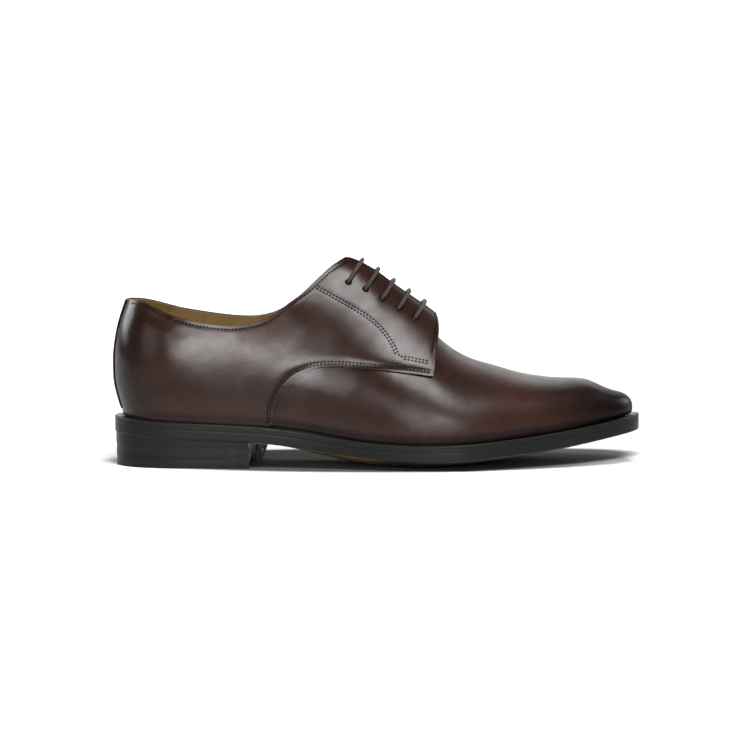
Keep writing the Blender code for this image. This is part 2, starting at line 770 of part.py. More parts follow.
def upper():
    """One hollow leather solid: the quarters joined to the vamp and holed at the eyelets."""
    shell = quarters_sheet()
    vamp = vamp_sheet()
    hide(vamp)
    join = shell.modifiers.new("vamp", "BOOLEAN")
    join.operation = "UNION"
    join.object = vamp
    holes = shell.modifiers.new("eyelets", "BOOLEAN")
    holes.operation = "DIFFERENCE"
    holes.object = eyelet_cutter()
    return shell


def tongue():
    """Leather sheet under the flaps, from the vamp's rear edge to the top of the instep."""
    root = vamp_rear_turn() - math.radians(0.3)
    tip = float(turn_at(TONGUE_TOP * SHOE_LENGTH, INSTEP_PEAK))

    def coordinates(u, v):
        turn = root + (tip - root) * v
        across = 2 * u - 1
        near_tip = np.clip((v - 1) / TONGUE_TIP_SHARE + 1, 0, 1)
        rounding = np.sqrt(1 - TONGUE_TIP_ROUNDING * near_tip**2)
        widening = TONGUE_ROOT_WIDTH + (1 - TONGUE_ROOT_WIDTH) * v
        reach = np.abs(across) * TONGUE_WIDTH / 2 * widening * rounding
        side = np.where(across < 0, LATERAL, MEDIAL)
        lift = -TONGUE_SINK / FLAP_LIFT * ease(v / TONGUE_SINK_SHARE)
        keys = zip(turn, side, reach, lift)
        rise = np.array([float(rise_at_reach(t, s, r, k)[0]) for t, s, r, k in keys])
        return turn, rise, side, lift

    made = leather(TONGUE_COLUMNS, TONGUE_ROWS, coordinates, 0.0, TONGUE_WALL)
    return object_from(made, "tongue", UPPER_BROWN, 0.4)


def rounded(corners, radius):
    """Line of points through the corners, each corner rounded off within radius of it."""
    line = [corners[0]]
    for before, corner, after in zip(corners, corners[1:], corners[2:]):
        reach = min(radius, (before - corner).length * 0.45, (after - corner).length * 0.45)
        start = corner + (before - corner).normalized() * reach
        end = corner + (after - corner).normalized() * reach
        for t in np.linspace(0, 1, 4):
            line.append(start * (1 - t) ** 2 + corner * 2 * t * (1 - t) + end * t**2)
    line.append(corners[-1])
    return line


def lace_bar(station, first):
    """Corners of one crossing on top of the flaps, between the undersides of a pair of eyelets."""
    above = QUARTER_STEP + LACE_DIAMETER / 2 + LACE_RAISE
    below = QUARTER_STEP - UPPER_WALL - LACE_DIAMETER / 2 - 1.5 * CLEARANCE
    corners = []
    for side in (first, -first):
        spots = [(EYELET_INSET, below), (EYELET_INSET, above)]
        spots += [(reach, above) for reach in (EYELET_INSET * 0.7, EYELET_INSET * 0.45, THROAT_GAP / 2)]
        half = [Vector(flap_point(station, side, reach, off)[0]) for reach, off in spots]
        corners += half if side == first else half[::-1]
    return corners


def lace():
    """One cord through all eyelets: straight bars on top, and runs under the flaps between the pairs."""
    stations = eyelet_stations()
    order = ((1, LATERAL), (3, MEDIAL), (4, LATERAL), (2, MEDIAL), (0, LATERAL))
    corners = []
    for pair, first in order:
        corners += lace_bar(stations[pair], first)
    curve = bpy.data.curves.new("lace_path", "CURVE")
    curve.dimensions = "3D"
    curve.bevel_depth = LACE_DIAMETER / 2
    curve.bevel_resolution = LACE_BEVEL_STEPS
    curve.use_fill_caps = True
    path = curve.splines.new("POLY")
    points = rounded(corners, LACE_BEND)
    path.points.add(len(points) - 1)
    for spot, point in zip(path.points, points):
        spot.co = (*point, 1)
    drawn = bpy.data.objects.new("lace_path", curve)
    made = bmesh.new()
    made.from_mesh(drawn.to_mesh())
    drawn.to_mesh_clear()
    bpy.data.objects.remove(drawn)
    return object_from(made, "lace", LACE_BROWN, 0.5)


def build():
    for leftover in list(bpy.data.objects):
        bpy.data.objects.remove(leftover)
    sole_layer("outsole", MIDSOLE_THICKNESS + OUTSOLE_THICKNESS, MIDSOLE_THICKNESS + CLEARANCE)
    sole_layer("midsole_welt", MIDSOLE_THICKNESS, 0)
    insole()
    lift_top = TOP_PIECE_THICKNESS + HEEL_LIFT_THICKNESS
    heel_layer("heel_top_piece", 0.0, TOP_PIECE_THICKNESS)
    heel_layer("heel_lift_lower", TOP_PIECE_THICKNESS + CLEARANCE, lift_top)
    heel_layer("heel_lift_upper", lift_top + CLEARANCE, None)
    upper()
    tongue()
    lace()


build()
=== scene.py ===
"""Looks of the right derby shoe: burnished leather, tan lining, round lace, waxed sole and stacked heel.

Metres, +Z up, +X towards the toe, +Y towards the inner (medial) side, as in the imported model.
"""

import math

import bmesh
import bpy
import numpy as np
from mathutils import Matrix, Vector
from mathutils.kdtree import KDTree


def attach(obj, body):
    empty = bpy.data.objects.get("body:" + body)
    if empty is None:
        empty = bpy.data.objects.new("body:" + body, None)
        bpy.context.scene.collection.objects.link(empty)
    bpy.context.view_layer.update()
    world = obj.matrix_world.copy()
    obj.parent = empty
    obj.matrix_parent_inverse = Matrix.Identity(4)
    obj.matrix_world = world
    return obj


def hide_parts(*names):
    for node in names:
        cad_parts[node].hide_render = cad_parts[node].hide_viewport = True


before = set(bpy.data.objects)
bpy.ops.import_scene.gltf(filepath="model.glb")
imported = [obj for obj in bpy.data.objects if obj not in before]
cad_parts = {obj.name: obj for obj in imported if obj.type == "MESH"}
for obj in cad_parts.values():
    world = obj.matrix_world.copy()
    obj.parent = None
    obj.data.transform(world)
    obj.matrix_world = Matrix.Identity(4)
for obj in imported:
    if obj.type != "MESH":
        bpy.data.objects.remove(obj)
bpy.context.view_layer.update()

MM = 0.001
LATERAL = -1
MEDIAL = 1

# Camera, in the shoe's frame
CAMERA_PLACE = (-0.0014, -2.1933, 0.2224)
CAMERA_DOWN = math.radians(4.46)
CAMERA_LENS = 182.4

# Colours, linear red, green and blue
UPPER_BROWN = (0.0110, 0.0046, 0.0031)
UPPER_RED = (0.0225, 0.0086, 0.0053)
# Painted floor-bounce light: a redder, lighter brown low on the upper
UPPER_PAINTED_BOUNCE = (0.0190, 0.0098, 0.0078)
UPPER_DARK = (0.0011, 0.0009, 0.0009)
THREAD_DARK = (0.0012, 0.0010, 0.0010)
THREAD_WAXED = (0.0050, 0.0040, 0.0036)
EDGE_DARK = (0.0018, 0.0015, 0.0014)
LINING_TAN = (0.094, 0.058, 0.0185)
LINING_WORN = (0.074, 0.044, 0.0143)
LINING_DARK = (0.030, 0.016, 0.006)
SOLE_BLACK = (0.0062, 0.0062, 0.0063)
SOLE_WORN = (0.0118, 0.0118, 0.0123)
UNDERSIDE_TAN = (0.16, 0.09, 0.032)
RUBBER_BLACK = (0.0050, 0.0050, 0.0050)
LACE_BROWN = (0.031, 0.0245, 0.0225)

# Floor paper, out in the light and in the painted contact shadow under the shoe
FLOOR_PAPER = (0.60, 0.60, 0.60)
FLOOR_PAINTED_SHADOW = (0.06, 0.06, 0.06)

# Polish of the leather, as specular level: seen square on and at a grazing angle
POLISH_FACING = 0.145
POLISH_GRAZING = 0.02

# Mesh density
QUARTER_COLUMNS = 470
QUARTER_ROWS = 86
QUARTER_BACK = 0.36
LINING_COLUMNS = 200
LINING_ROWS = 34
VAMP_COLUMNS = 130
VAMP_ROWS = 150
TONGUE_COLUMNS = 44
TONGUE_ROWS = 50
SOLE_STATIONS = 160
HEEL_STATIONS = 48
HEEL_ROWS = 24
STRIP_COLUMNS = 60
STRIP_ROWS = 12
SOCK_COLUMNS = 120
SOCK_ROWS = 24
LACE_SIDES = 14
LACE_STEP = 0.35 * MM

# Points taken up the last, along a seam, along an edge and along the lines that a sheet is laid between
LEVEL_POINTS = 241
SEAM_POINTS = 400
EDGE_POINTS = 500
RULER_POINTS = 241

# Edges stay sharp in the shading where the surface turns by more than this
SHARP_TURN = math.radians(50)

# Scene-only sizes
QUARTER_LEATHER = 1.3 * MM
PUNCH_RADIUS = 2.1 * MM
PUNCH_DEPTH = 8 * MM
SKIVE = 0.6 * MM
SKIVE_REACH = 4.0 * MM
STRIP_WIDTH = 13 * MM
STRIP_LEATHER = 0.6 * MM
SEAM_PULL = 0.09 * MM
SEAM_PULL_REACH = 0.9 * MM
SOLE_SEAM = 0.06 * MM
HEEL_SEAM = 0.10 * MM

# Painted shade in the stitch grooves, round the eyelets, on the vamp along the quarters' edges and above
# the welt, and dark ink along the quarters' own edges: how far they reach and how strong they are
SEAM_SHADE = 0.8 * MM
SEAM_SHADE_STRENGTH = 0.72
RIM_SHADE_ON_VAMP = 3.2 * MM
RIM_SHADE_ON_QUARTER = 1.1 * MM
RIM_STRENGTH_ON_VAMP = 0.55
RIM_STRENGTH_ON_QUARTER = 0.2
EYELET_SHADE = 2.6 * MM
EYELET_SHADE_STRENGTH = 4.0
FEATHER_SHADE = 2.4 * MM
FEATHER_SHADE_STRENGTH = 0.9

# Where the burnish starts and where it is full, along the shoe, and the top of the painted floor-bounce
# light, a redder, lighter band low on the upper
TOE_BURNISH = (0.088, 0.146)
HEEL_BURNISH = (-0.118, -0.152)
PAINTED_BOUNCE_BAND = (0.0285, 0.0145)
PAINTED_BOUNCE_SLOPE = 0.25
PAINTED_BOUNCE_LEVEL_BEHIND = -0.072

# Tan of the underside: its rear and front ends, between the heel and the tread
TAN_REAR = (-0.070, -0.073)
TAN_FRONT = (-0.004, 0.010)

# Painted shadow on the floor: half its length and width, its middle, and how it swings to the inner side at
# the toe
SHADE_LENGTH = 0.166
SHADE_WIDTH = 0.074
SHADE_MIDDLE = 0.018
SHADE_SWING = 0.40
SHADE_SWING_START = 0.05

# Light
WORLD_STRENGTH = 0.10
SHOE_MIDDLE = (0, 0, 0.05)
LAMPS = (
    # name, place, aim, width, height, watts
    ("box_low", (-0.16, -2.9, 0.66), (-0.02, 0, 0.05), 1.45, 0.8, 100.0),
    ("box_high", (0.16, -0.88, 1.36), SHOE_MIDDLE, 0.8, 0.7, 50.0),
    ("back_card_toe", (2.2, 1.0, 0.95), SHOE_MIDDLE, 1.2, 1.1, 48.0),
    ("back_card_heel", (-2.2, 1.0, 0.95), SHOE_MIDDLE, 1.2, 1.1, 48.0),
    ("side_card", (-2.1, -2.0, 0.75), SHOE_MIDDLE, 1.3, 1.1, 14.0),
    ("backdrop_wash", (0.0, 1.7, 2.3), (0, 3.4, 0.9), 3.0, 0.5, 190.0),
)

# Floor paper: half its width, how far before the shoe it starts, its flat run, its sweep up and its length
FLOOR_HALF_WIDTH = 5
FLOOR_FRONT = 3.6
FLOOR_RUN = 6.0
FLOOR_SWEEP = 1.0
FLOOR_BEND = 1.6
FLOOR_LENGTH = 10.0

# Sole plan
SHOE_LENGTH = 304 * MM
BALL_WIDTH = 106 * MM
HEEL_END_RADIUS = 31 * MM
TOE_END_RADIUS = 22 * MM

# Sole heights
HEEL_SEAT_HEIGHT = 28.7 * MM
TOE_SPRING_HEIGHT = 28.9 * MM
SPRING_START = 0.6
MIDSOLE_THICKNESS = 3.9 * MM
OUTSOLE_THICKNESS = 5.6 * MM
CROWN = 5.9 * MM
INSOLE_THICKNESS = 2.8 * MM
CLEARANCE = 0.3 * MM
INSOLE_GAP = 0.45 * MM

# Heel block
BREAST_LATERAL = 78.5 * MM
BREAST_MEDIAL = 87.5 * MM
BREAST_HOLLOW = 5 * MM
HEEL_TAPER = 0.035
TOP_PIECE_THICKNESS = 6.2 * MM
HEEL_LIFT_THICKNESS = 6.4 * MM
CORNER_CUT_WIDTH = 9 * MM
CORNER_CUT_HEIGHT = 8 * MM
CORNER_CUT_SKEW = 0.8

# Upper
LAST_LENGTH = 299.5 * MM
LAST_BACK = 0.9 * MM
LAST_WIDTH = 93.6 * MM
LAST_HEEL_RADIUS = 28 * MM
LAST_TOE_RADIUS = 19 * MM
LAST_TOE_RISE_RADIUS = 9.5 * MM
CONE_HEIGHT = 128 * MM
FEATHER_DROP = 3.0 * MM
FEATHER_TUCK = 2.4 * MM
FEATHER_SHARE = 0.08
FEATHER_TURN = math.radians(55)
UPPER_WALL = 2.5 * MM
QUARTER_STEP = 1.4 * MM
FLAP_LIFT = 11.0 * MM
THROAT_GAP = 14 * MM
FLAP_LIFT_START = 0.30
FLAP_LIFT_SPAN = 0.20
FLAP_FOOT = 0.30
FLAP_FOOT_SPAN = 0.52
TOPLINE_HEIGHT = 95.5 * MM
INSTEP_PEAK = 119.6 * MM

# Lacing and tongue
EYELET_PAIRS = 5
EYELET_INSET = 24 * MM
EYELET_TOP = 0.461
EYELET_FRONT = 0.588
LACE_LEAN = 0.52
LACE_DIAMETER = 2.3 * MM
TONGUE_WALL = 2.2 * MM
TONGUE_WIDTH = 56 * MM
TONGUE_SINK = 1.5 * MM
TONGUE_SINK_SHARE = 0.4
TONGUE_ROOT_WIDTH = 0.74
TONGUE_TIP_SHARE = 0.2
TONGUE_TIP_ROUNDING = 0.5
TONGUE_TOP = 0.432
VAMP_UNDERLAP = 14 * MM
VAMP_LAP = 0.10
VAMP_TURN_IN = 0.30
VAMP_TURN_IN_SPAN = 0.30
LACE_RAISE = 0.7 * MM
LACE_BEND = 1.9 * MM

# The lace's bars in the order the cord makes them: the pair, counted from the top, and its first side
LACE_ORDER = ((1, LATERAL), (3, MEDIAL), (4, LATERAL), (2, MEDIAL), (0, LATERAL))

# Sole outline: share of the length, half width and centre as shares of the ball width.
SOLE_PLAN = (
    # share, half width, centre
    (0.10, 0.295, -0.002),
    (0.20, 0.314, -0.002),
    (0.28, 0.304, -0.007),
    (0.36, 0.290, -0.031),
    (0.44, 0.311, -0.061),
    (0.52, 0.370, -0.073),
    (0.60, 0.436, -0.054),
    (0.66, 0.474, -0.021),
    (0.72, 0.474, 0.017),
    (0.80, 0.424, 0.045),
    (0.88, 0.342, 0.061),
    (0.94, 0.250, 0.069),
)
TOE_CENTRE = 0.074

# Height of the welt's top at the sole's edge, and how far the middle hangs below the edge.
SOLE_PROFILE = (
    # share of the length, share of the heel seat height, share of the crown
    (0.00, 1.000, 0.00),
    (0.07, 0.941, 0.00),
    (0.16, 0.902, 0.00),
    (0.24, 0.861, 0.00),
    (0.30, 0.812, 0.14),
    (0.36, 0.728, 0.48),
    (0.42, 0.628, 0.72),
    (0.48, 0.556, 0.90),
    (0.54, 0.519, 1.00),
    (0.60, 0.512, 1.00),
    (0.66, 0.540, 0.93),
    (0.72, 0.592, 0.80),
    (0.79, 0.668, 0.64),
    (0.86, 0.766, 0.50),
    (0.93, 0.886, 0.30),
    (1.00, 1.007, 0.00),
)

# Last outline just above the welt, shares of LAST_LENGTH and LAST_WIDTH, with the ridge's line.
LAST_PLAN = (
    # share, half width, centre, ridge centre
    (0.10, 0.316, -0.002, 0.002),
    (0.20, 0.336, -0.002, 0.004),
    (0.28, 0.327, -0.008, 0.007),
    (0.36, 0.317, -0.034, 0.010),
    (0.44, 0.343, -0.068, 0.014),
    (0.52, 0.401, -0.080, 0.018),
    (0.60, 0.466, -0.060, 0.025),
    (0.66, 0.500, -0.024, 0.033),
    (0.72, 0.497, 0.018, 0.046),
    (0.80, 0.439, 0.052, 0.062),
    (0.88, 0.348, 0.070, 0.074),
    (0.94, 0.249, 0.080, 0.081),
)
LAST_TOE_CENTRE = 0.084

# Height of the last's ridge above the floor, as a share of CONE_HEIGHT.
RIDGE = (
    # share of the last's length, height
    (0.00, 1.000),
    (0.12, 1.000),
    (0.24, 1.000),
    (0.32, 0.982),
    (0.38, 0.939),
    (0.44, 0.864),
    (0.50, 0.766),
    (0.56, 0.672),
    (0.61, 0.593),
    (0.645, 0.529),
    (0.68, 0.482),
    (0.73, 0.444),
    (0.78, 0.409),
    (0.82, 0.392),
    (0.87, 0.383),
    (0.92, 0.369),
    (0.96, 0.330),
)

# How each section of the last fills out, shares of its half width and of its height.
SECTION = (
    # share of length, low width, low height, high width, high height, crest width
    (0.00, 1.22, 0.28, 1.16, 0.62, 0.62),
    (0.20, 1.17, 0.28, 1.10, 0.62, 0.55),
    (0.36, 1.12, 0.28, 1.02, 0.66, 0.42),
    (0.50, 1.08, 0.30, 0.90, 0.74, 0.32),
    (0.62, 1.08, 0.36, 0.84, 0.80, 0.34),
    (0.75, 1.06, 0.42, 0.86, 0.86, 0.42),
    (0.90, 1.03, 0.48, 0.90, 0.94, 0.50),
    (1.00, 1.02, 0.50, 0.92, 0.96, 0.52),
)
MEDIAL_FULLNESS = 1.05

# Back curve of the upper: how far it stands forward of its rearmost point.
BACK_CURVE = (
    # share of the cone height, forward share of the back's depth
    (0.20, 1.05),
    (0.25, 0.72),
    (0.31, 0.36),
    (0.37, 0.08),
    (0.44, 0.00),
    (0.51, 0.04),
    (0.58, 0.22),
    (0.65, 0.52),
    (0.74, 1.10),
    (0.85, 1.70),
    (1.00, 2.70),
)
BACK_DEPTH = 6.4 * MM
HEEL_CURVE_SHARE = 0.12

# Topline of the quarters, from the back seam to the top of the lacing.
TOPLINE = (
    # share of the shoe's length, lateral and medial height as shares of TOPLINE_HEIGHT
    (0.00, 1.000, 1.000),
    (0.04, 0.990, 0.986),
    (0.08, 0.950, 0.959),
    (0.13, 0.900, 0.925),
    (0.18, 0.866, 0.898),
    (0.22, 0.854, 0.882),
    (0.26, 0.866, 0.878),
    (0.30, 0.912, 0.903),
    (0.335, 0.990, 0.966),
    (0.370, 1.070, 1.064),
    (0.400, 1.158, 1.154),
    (0.420, 1.206, 1.206),
    (0.438, 1.236, 1.240),
)

# Edge of the flaps along the throat, from the top of the lacing to the front corner.
THROAT = (
    # share of the shoe's length, height as a share of INSTEP_PEAK
    (0.440, 1.000),
    (0.463, 0.978),
    (0.486, 0.945),
    (0.509, 0.909),
    (0.543, 0.846),
    (0.579, 0.783),
    (0.596, 0.750),
)

# Front edge of the flap, from the throat down to its lower corner.
FLAP_FRONT = (
    # share of the shoe's length, height as a share of INSTEP_PEAK
    (0.6040, 0.742),
    (0.6105, 0.717),
    (0.6135, 0.678),
    (0.6140, 0.639),
    (0.6115, 0.595),
    (0.6080, 0.522),
)

# Front seam of the quarter on the vamp, from the sole up to the flap's lower corner.
FRONT_SEAM = (
    # share of the shoe's length, height above the floor in shares of INSTEP_PEAK
    (0.2985, 0.180),
    (0.3010, 0.248),
    (0.3060, 0.300),
    (0.3130, 0.345),
    (0.3240, 0.392),
    (0.3400, 0.434),
    (0.3600, 0.461),
    (0.3850, 0.481),
    (0.4150, 0.488),
    (0.4650, 0.482),
    (0.5150, 0.472),
    (0.5600, 0.460),
    (0.6040, 0.445),
)


def spline(at, xs, ys):
    """Natural cubic spline through the points (xs, ys), read at the values at."""
    xs = np.asarray(xs, float)
    ys = np.asarray(ys, float)
    at = np.asarray(at, float)
    gap = np.diff(xs)
    slope = np.diff(ys) / gap
    count = len(xs)
    system = np.eye(count)
    right = np.zeros(count)
    for i in range(1, count - 1):
        system[i, i - 1 : i + 2] = gap[i - 1], 2 * (gap[i - 1] + gap[i]), gap[i]
        right[i] = 6 * (slope[i] - slope[i - 1])
    bend = np.linalg.solve(system, right)
    i = np.clip(np.searchsorted(xs, at) - 1, 0, count - 2)
    a = (xs[i + 1] - at) / gap[i]
    b = 1 - a
    curve = (a**3 - a) * bend[i] + (b**3 - b) * bend[i + 1]
    return a * ys[i] + b * ys[i + 1] + curve * gap[i] ** 2 / 6


def column(table, number):
    return [row[number] for row in table]


def end_rounding(share, table, number, width, length, radii):
    """Half width of an outline whose two ends are round, with the radii of the heel and the toe."""
    shares = np.array(column(table, 0))
    halves = np.array(column(table, number)) * width
    full = halves / np.sqrt(shares * (1 - shares))
    ends = [math.sqrt(2 * radius * length) for radius in radii]
    knots = np.concatenate([[0], shares, [1]])
    values = np.concatenate([[ends[0]], full, [ends[1]]])
    share = np.clip(share, 0, 1)
    return np.sqrt(share * (1 - share)) * spline(share, knots, values)


def centre_line(share, table, number, toe, width):
    shares = [0, *column(table, 0), 1]
    values = [0, *column(table, number), toe]
    return spline(share, shares, values) * width


def sole_half(share):
    return end_rounding(share, SOLE_PLAN, 1, BALL_WIDTH, SHOE_LENGTH, (HEEL_END_RADIUS, TOE_END_RADIUS))


def sole_centre(share):
    return centre_line(share, SOLE_PLAN, 2, TOE_CENTRE, BALL_WIDTH)


def widest_middle():
    """Middle of the sole's width, which the origin is set to."""
    shares = np.linspace(0, 1, 2001)
    high = (sole_centre(shares) + sole_half(shares)).max()
    low = (sole_centre(shares) - sole_half(shares)).min()
    return (high + low) / 2


def sole_top(share, across):
    """Height of the welt's top at a share of the length and across, -1 to 1, of the half width."""
    shares = column(SOLE_PROFILE, 0)
    spring = np.clip((np.asarray(share) - SPRING_START) / (1 - SPRING_START), 0, 1)
    tall = HEEL_SEAT_HEIGHT + (TOE_SPRING_HEIGHT - HEEL_SEAT_HEIGHT) * spring
    edge = spline(share, shares, column(SOLE_PROFILE, 1)) * tall
    drop = spline(share, shares, column(SOLE_PROFILE, 2)) * CROWN
    return edge - np.maximum(drop, 0) * (1 - np.minimum(np.abs(across), 1) ** 2)


def share_of(x):
    return np.clip(x / SHOE_LENGTH, 0, 1)


def across_of(x, y):
    half = np.maximum(sole_half(share_of(x)), 1e-6)
    return np.clip((y - sole_centre(share_of(x))) / half, -1, 1)


def back_of(height):
    shares = column(BACK_CURVE, 0)
    reach = np.clip(height / CONE_HEIGHT, shares[0], shares[-1])
    return LAST_BACK + spline(reach, shares, column(BACK_CURVE, 1)) * BACK_DEPTH


def bezier(t, points):
    """Point at t on the curve of five control points."""
    weights = [math.comb(4, i) * (1 - t) ** (4 - i) * t**i for i in range(5)]
    return sum(weight * point for weight, point in zip(weights, points))


def last_surface(turn, rise, side, lifted):
    """Point of the last at turn, 0 at the heel's back to pi at the toe, and rise, 0 to 1 at the ridge.

    lifted is 1 where the surface is a quarter's, which stands off the last along the throat.
    """
    share = (1 - np.cos(turn)) / 2
    plan = [0, *column(LAST_PLAN, 0), 1]
    half = end_rounding(share, LAST_PLAN, 1, LAST_WIDTH, LAST_LENGTH, (LAST_HEEL_RADIUS, LAST_TOE_RADIUS))
    foot_y = spline(share, plan, [0, *column(LAST_PLAN, 2), LAST_TOE_CENTRE]) * LAST_WIDTH
    ridge_y = spline(share, plan, [0, *column(LAST_PLAN, 3), LAST_TOE_CENTRE]) * LAST_WIDTH
    x_guess = LAST_BACK + LAST_LENGTH * share
    foot_z = sole_top(share_of(x_guess), 1.0) + CLEARANCE + FEATHER_DROP
    height = ridge_height(share) - foot_z
    shape = [spline(share, column(SECTION, 0), column(SECTION, i)) for i in range(1, 6)]
    fuller = np.where(side > 0, 1 + (MEDIAL_FULLNESS - 1) * np.sin(turn) ** 4, 1.0)
    level = np.clip(rise, 0, 1)
    widths = (half, half * shape[0], half * shape[2] * fuller, half * shape[4], half * 0)
    rises = (height * 0, height * shape[1], height * shape[3], height, height)
    out = bezier(level, widths)
    up = bezier(level, rises)
    lean = up / np.maximum(height, 1e-6)
    y = foot_y + (ridge_y - foot_y) * lean**1.3 + side * out
    z = foot_z + up
    z = z + lifted * FLAP_LIFT * flap_share(share) * ease((level - FLAP_FOOT) / FLAP_FOOT_SPAN)
    toe = LAST_BACK + LAST_LENGTH
    back = back_of(z)
    x = back + (toe - back) * share
    return np.stack(np.broadcast_arrays(x, y, z), axis=-1)


def ridge_height(share):
    """Height of the ridge, which rounds down to the welt at the toe."""
    toe_foot = sole_top(1.0, 1.0) + CLEARANCE + FEATHER_DROP
    shares = np.array(column(RIDGE, 0))
    foot = sole_top(shares, 1.0) + CLEARANCE + FEATHER_DROP
    high = np.array(column(RIDGE, 1)) * CONE_HEIGHT - foot
    full = high / np.sqrt(1 - shares)
    knots = np.append(shares, 1.0)
    values = np.append(full, math.sqrt(2 * LAST_TOE_RISE_RADIUS * LAST_LENGTH))
    share = np.clip(share, 0, 1)
    foot_here = np.where(share < 1, sole_top(share, 1.0) + CLEARANCE + FEATHER_DROP, toe_foot)
    return foot_here + np.sqrt(1 - share) * spline(share, knots, values)


def ease(t):
    t = np.clip(t, 0, 1)
    return t * t * (3 - 2 * t)


def flap_share(share):
    """How much of the flaps' lift a station has: none at the ankle, all of it along the lacing."""
    return ease((share - FLAP_LIFT_START) / FLAP_LIFT_SPAN)


def upper_point(turn, rise, side, lifted=0.0, off=0.0):
    """Point at a distance off, outwards, from the upper's outer surface. A rise under 0 is the tuck."""
    turn, rise, side = np.broadcast_arrays(
        np.asarray(turn, float), np.asarray(rise, float), np.asarray(side, float)
    )
    level = np.clip(rise, 0, 1)
    step = 2e-3
    inside = np.clip(turn, 3 * step, math.pi - 20 * step)
    low = np.clip(level, step, 1 - 12 * step)
    along = last_surface(inside + step, low, side, lifted)
    along -= last_surface(inside - step, low, side, lifted)
    climb = last_surface(inside, low + step, side, lifted)
    climb -= last_surface(inside, low - step, side, lifted)
    normal = np.cross(climb, along) * side[..., None]
    centre_ends = (turn < 3 * step) | (turn > math.pi - 3 * step)
    normal[..., 1] = np.where(centre_ends, 0, normal[..., 1])
    on_ridge = level > 1 - step
    if np.ndim(lifted) or lifted < 0.5:
        normal[..., 1] = np.where(on_ridge, 0, normal[..., 1])
    normal /= np.linalg.norm(normal, axis=-1, keepdims=True)
    point = last_surface(turn, level, side, lifted) + normal * np.asarray(off)[..., None]
    sink = np.clip(-rise / FEATHER_SHARE, 0, 1) * FEATHER_TURN
    flat = normal * [1, 1, 0]
    flat /= np.linalg.norm(flat, axis=-1, keepdims=True)
    point = point - flat * (FEATHER_TUCK * (1 - np.cos(sink)))[..., None]
    point[..., 2] -= FEATHER_DROP * np.sin(sink) / math.sin(FEATHER_TURN)
    return point


def turn_at(x, height):
    """Turn whose point at that height stands at x."""
    back = back_of(height)
    share = (x - back) / (LAST_BACK + LAST_LENGTH - back)
    return np.arccos(1 - 2 * np.clip(share, 0, 1))


def rise_at(turn, height, side, lifted):
    """Rise at which the surface reaches a height, for each turn."""
    levels = np.linspace(0, 1, LEVEL_POINTS)
    side_row = np.full(LEVEL_POINTS, float(side))
    found = []
    for one_turn, one_height in zip(np.atleast_1d(turn), np.atleast_1d(height)):
        heights = last_surface(np.full(LEVEL_POINTS, one_turn), levels, side_row, lifted)[:, 2]
        found.append(np.interp(one_height, heights, levels))
    return np.array(found)


def run_along(points):
    """Length run at each point of a line, from its start."""
    return np.concatenate([[0], np.cumsum(np.linalg.norm(np.diff(points, axis=0), axis=1))])


def rise_at_reach(turn, side, reach, lifted):
    """Rise at a distance down the surface from the ridge's line, for each turn."""
    levels = np.linspace(1, 0.3, LEVEL_POINTS)
    side_row = np.full(LEVEL_POINTS, float(side))
    found = []
    for one_turn in np.atleast_1d(turn):
        points = last_surface(np.full(LEVEL_POINTS, one_turn), levels, side_row, lifted)
        run = run_along(points)
        found.append(np.interp(reach, run, levels))
    return np.array(found)


def quarter_edges(side):
    """Lower and upper edges of a quarter as rows of (turn, rise): its back part, then its front part."""
    number = 1 if side == LATERAL else 2
    fine = np.linspace(0, TOPLINE[-1][0], 60)
    heights = spline(fine, column(TOPLINE, 0), column(TOPLINE, number)) * TOPLINE_HEIGHT
    back = back_of(TOPLINE_HEIGHT) * np.clip(1 - fine / HEEL_CURVE_SHARE, 0, 1)
    turns = turn_at(back + fine * SHOE_LENGTH, heights)
    gap_rises = rise_at_reach(turns, side, THROAT_GAP / 2, 1.0)
    top = np.stack([turns, np.minimum(rise_at(turns, heights, side, 1.0), gap_rises)], axis=1)
    split = int(np.searchsorted(fine, FRONT_SEAM[0][0] - 0.07))
    throat_shares = np.linspace(THROAT[0][0], THROAT[-1][0], 24)
    throat_turns = turn_at(throat_shares * SHOE_LENGTH, INSTEP_PEAK * 0.85)
    throat = np.stack([throat_turns, rise_at_reach(throat_turns, side, THROAT_GAP / 2, 1.0)], axis=1)
    front_heights = np.array(column(FLAP_FRONT, 1)) * INSTEP_PEAK
    front_turns = turn_at(np.array(column(FLAP_FRONT, 0)) * SHOE_LENGTH, front_heights)
    front_rises = rise_at(front_turns, front_heights, side, 1.0)
    gap_rises = rise_at_reach(front_turns, side, THROAT_GAP / 2, 1.0)
    front = np.stack([front_turns, np.minimum(front_rises, gap_rises)], axis=1)
    seam_shares = np.linspace(FRONT_SEAM[0][0], FRONT_SEAM[-1][0], 60)
    seam_heights = spline(seam_shares, column(FRONT_SEAM, 0), column(FRONT_SEAM, 1)) * INSTEP_PEAK
    seam_turns = turn_at(seam_shares * SHOE_LENGTH, seam_heights)
    seam = np.stack([seam_turns, rise_at(seam_turns, seam_heights, side, 1.0)], axis=1)
    seam[0, 1] = -FEATHER_SHARE
    foot_turns = np.linspace(0, seam_turns[0], 30)
    foot = np.stack([foot_turns, np.full(30, -FEATHER_SHARE)], axis=1)
    return (foot, top[: split + 1]), (seam, np.concatenate([top[split:], throat, front]))


def vamp_rear_turn():
    """Turn of the vamp's rear edge under the flaps, where the tongue begins."""
    return float(turn_at(THROAT[-1][0] * SHOE_LENGTH - VAMP_UNDERLAP, INSTEP_PEAK * 0.7))


def eyelet_stations():
    """Where each crossing of the lace meets the ridge's line, from the top pair down."""
    return np.linspace(EYELET_TOP, EYELET_FRONT, EYELET_PAIRS) * SHOE_LENGTH


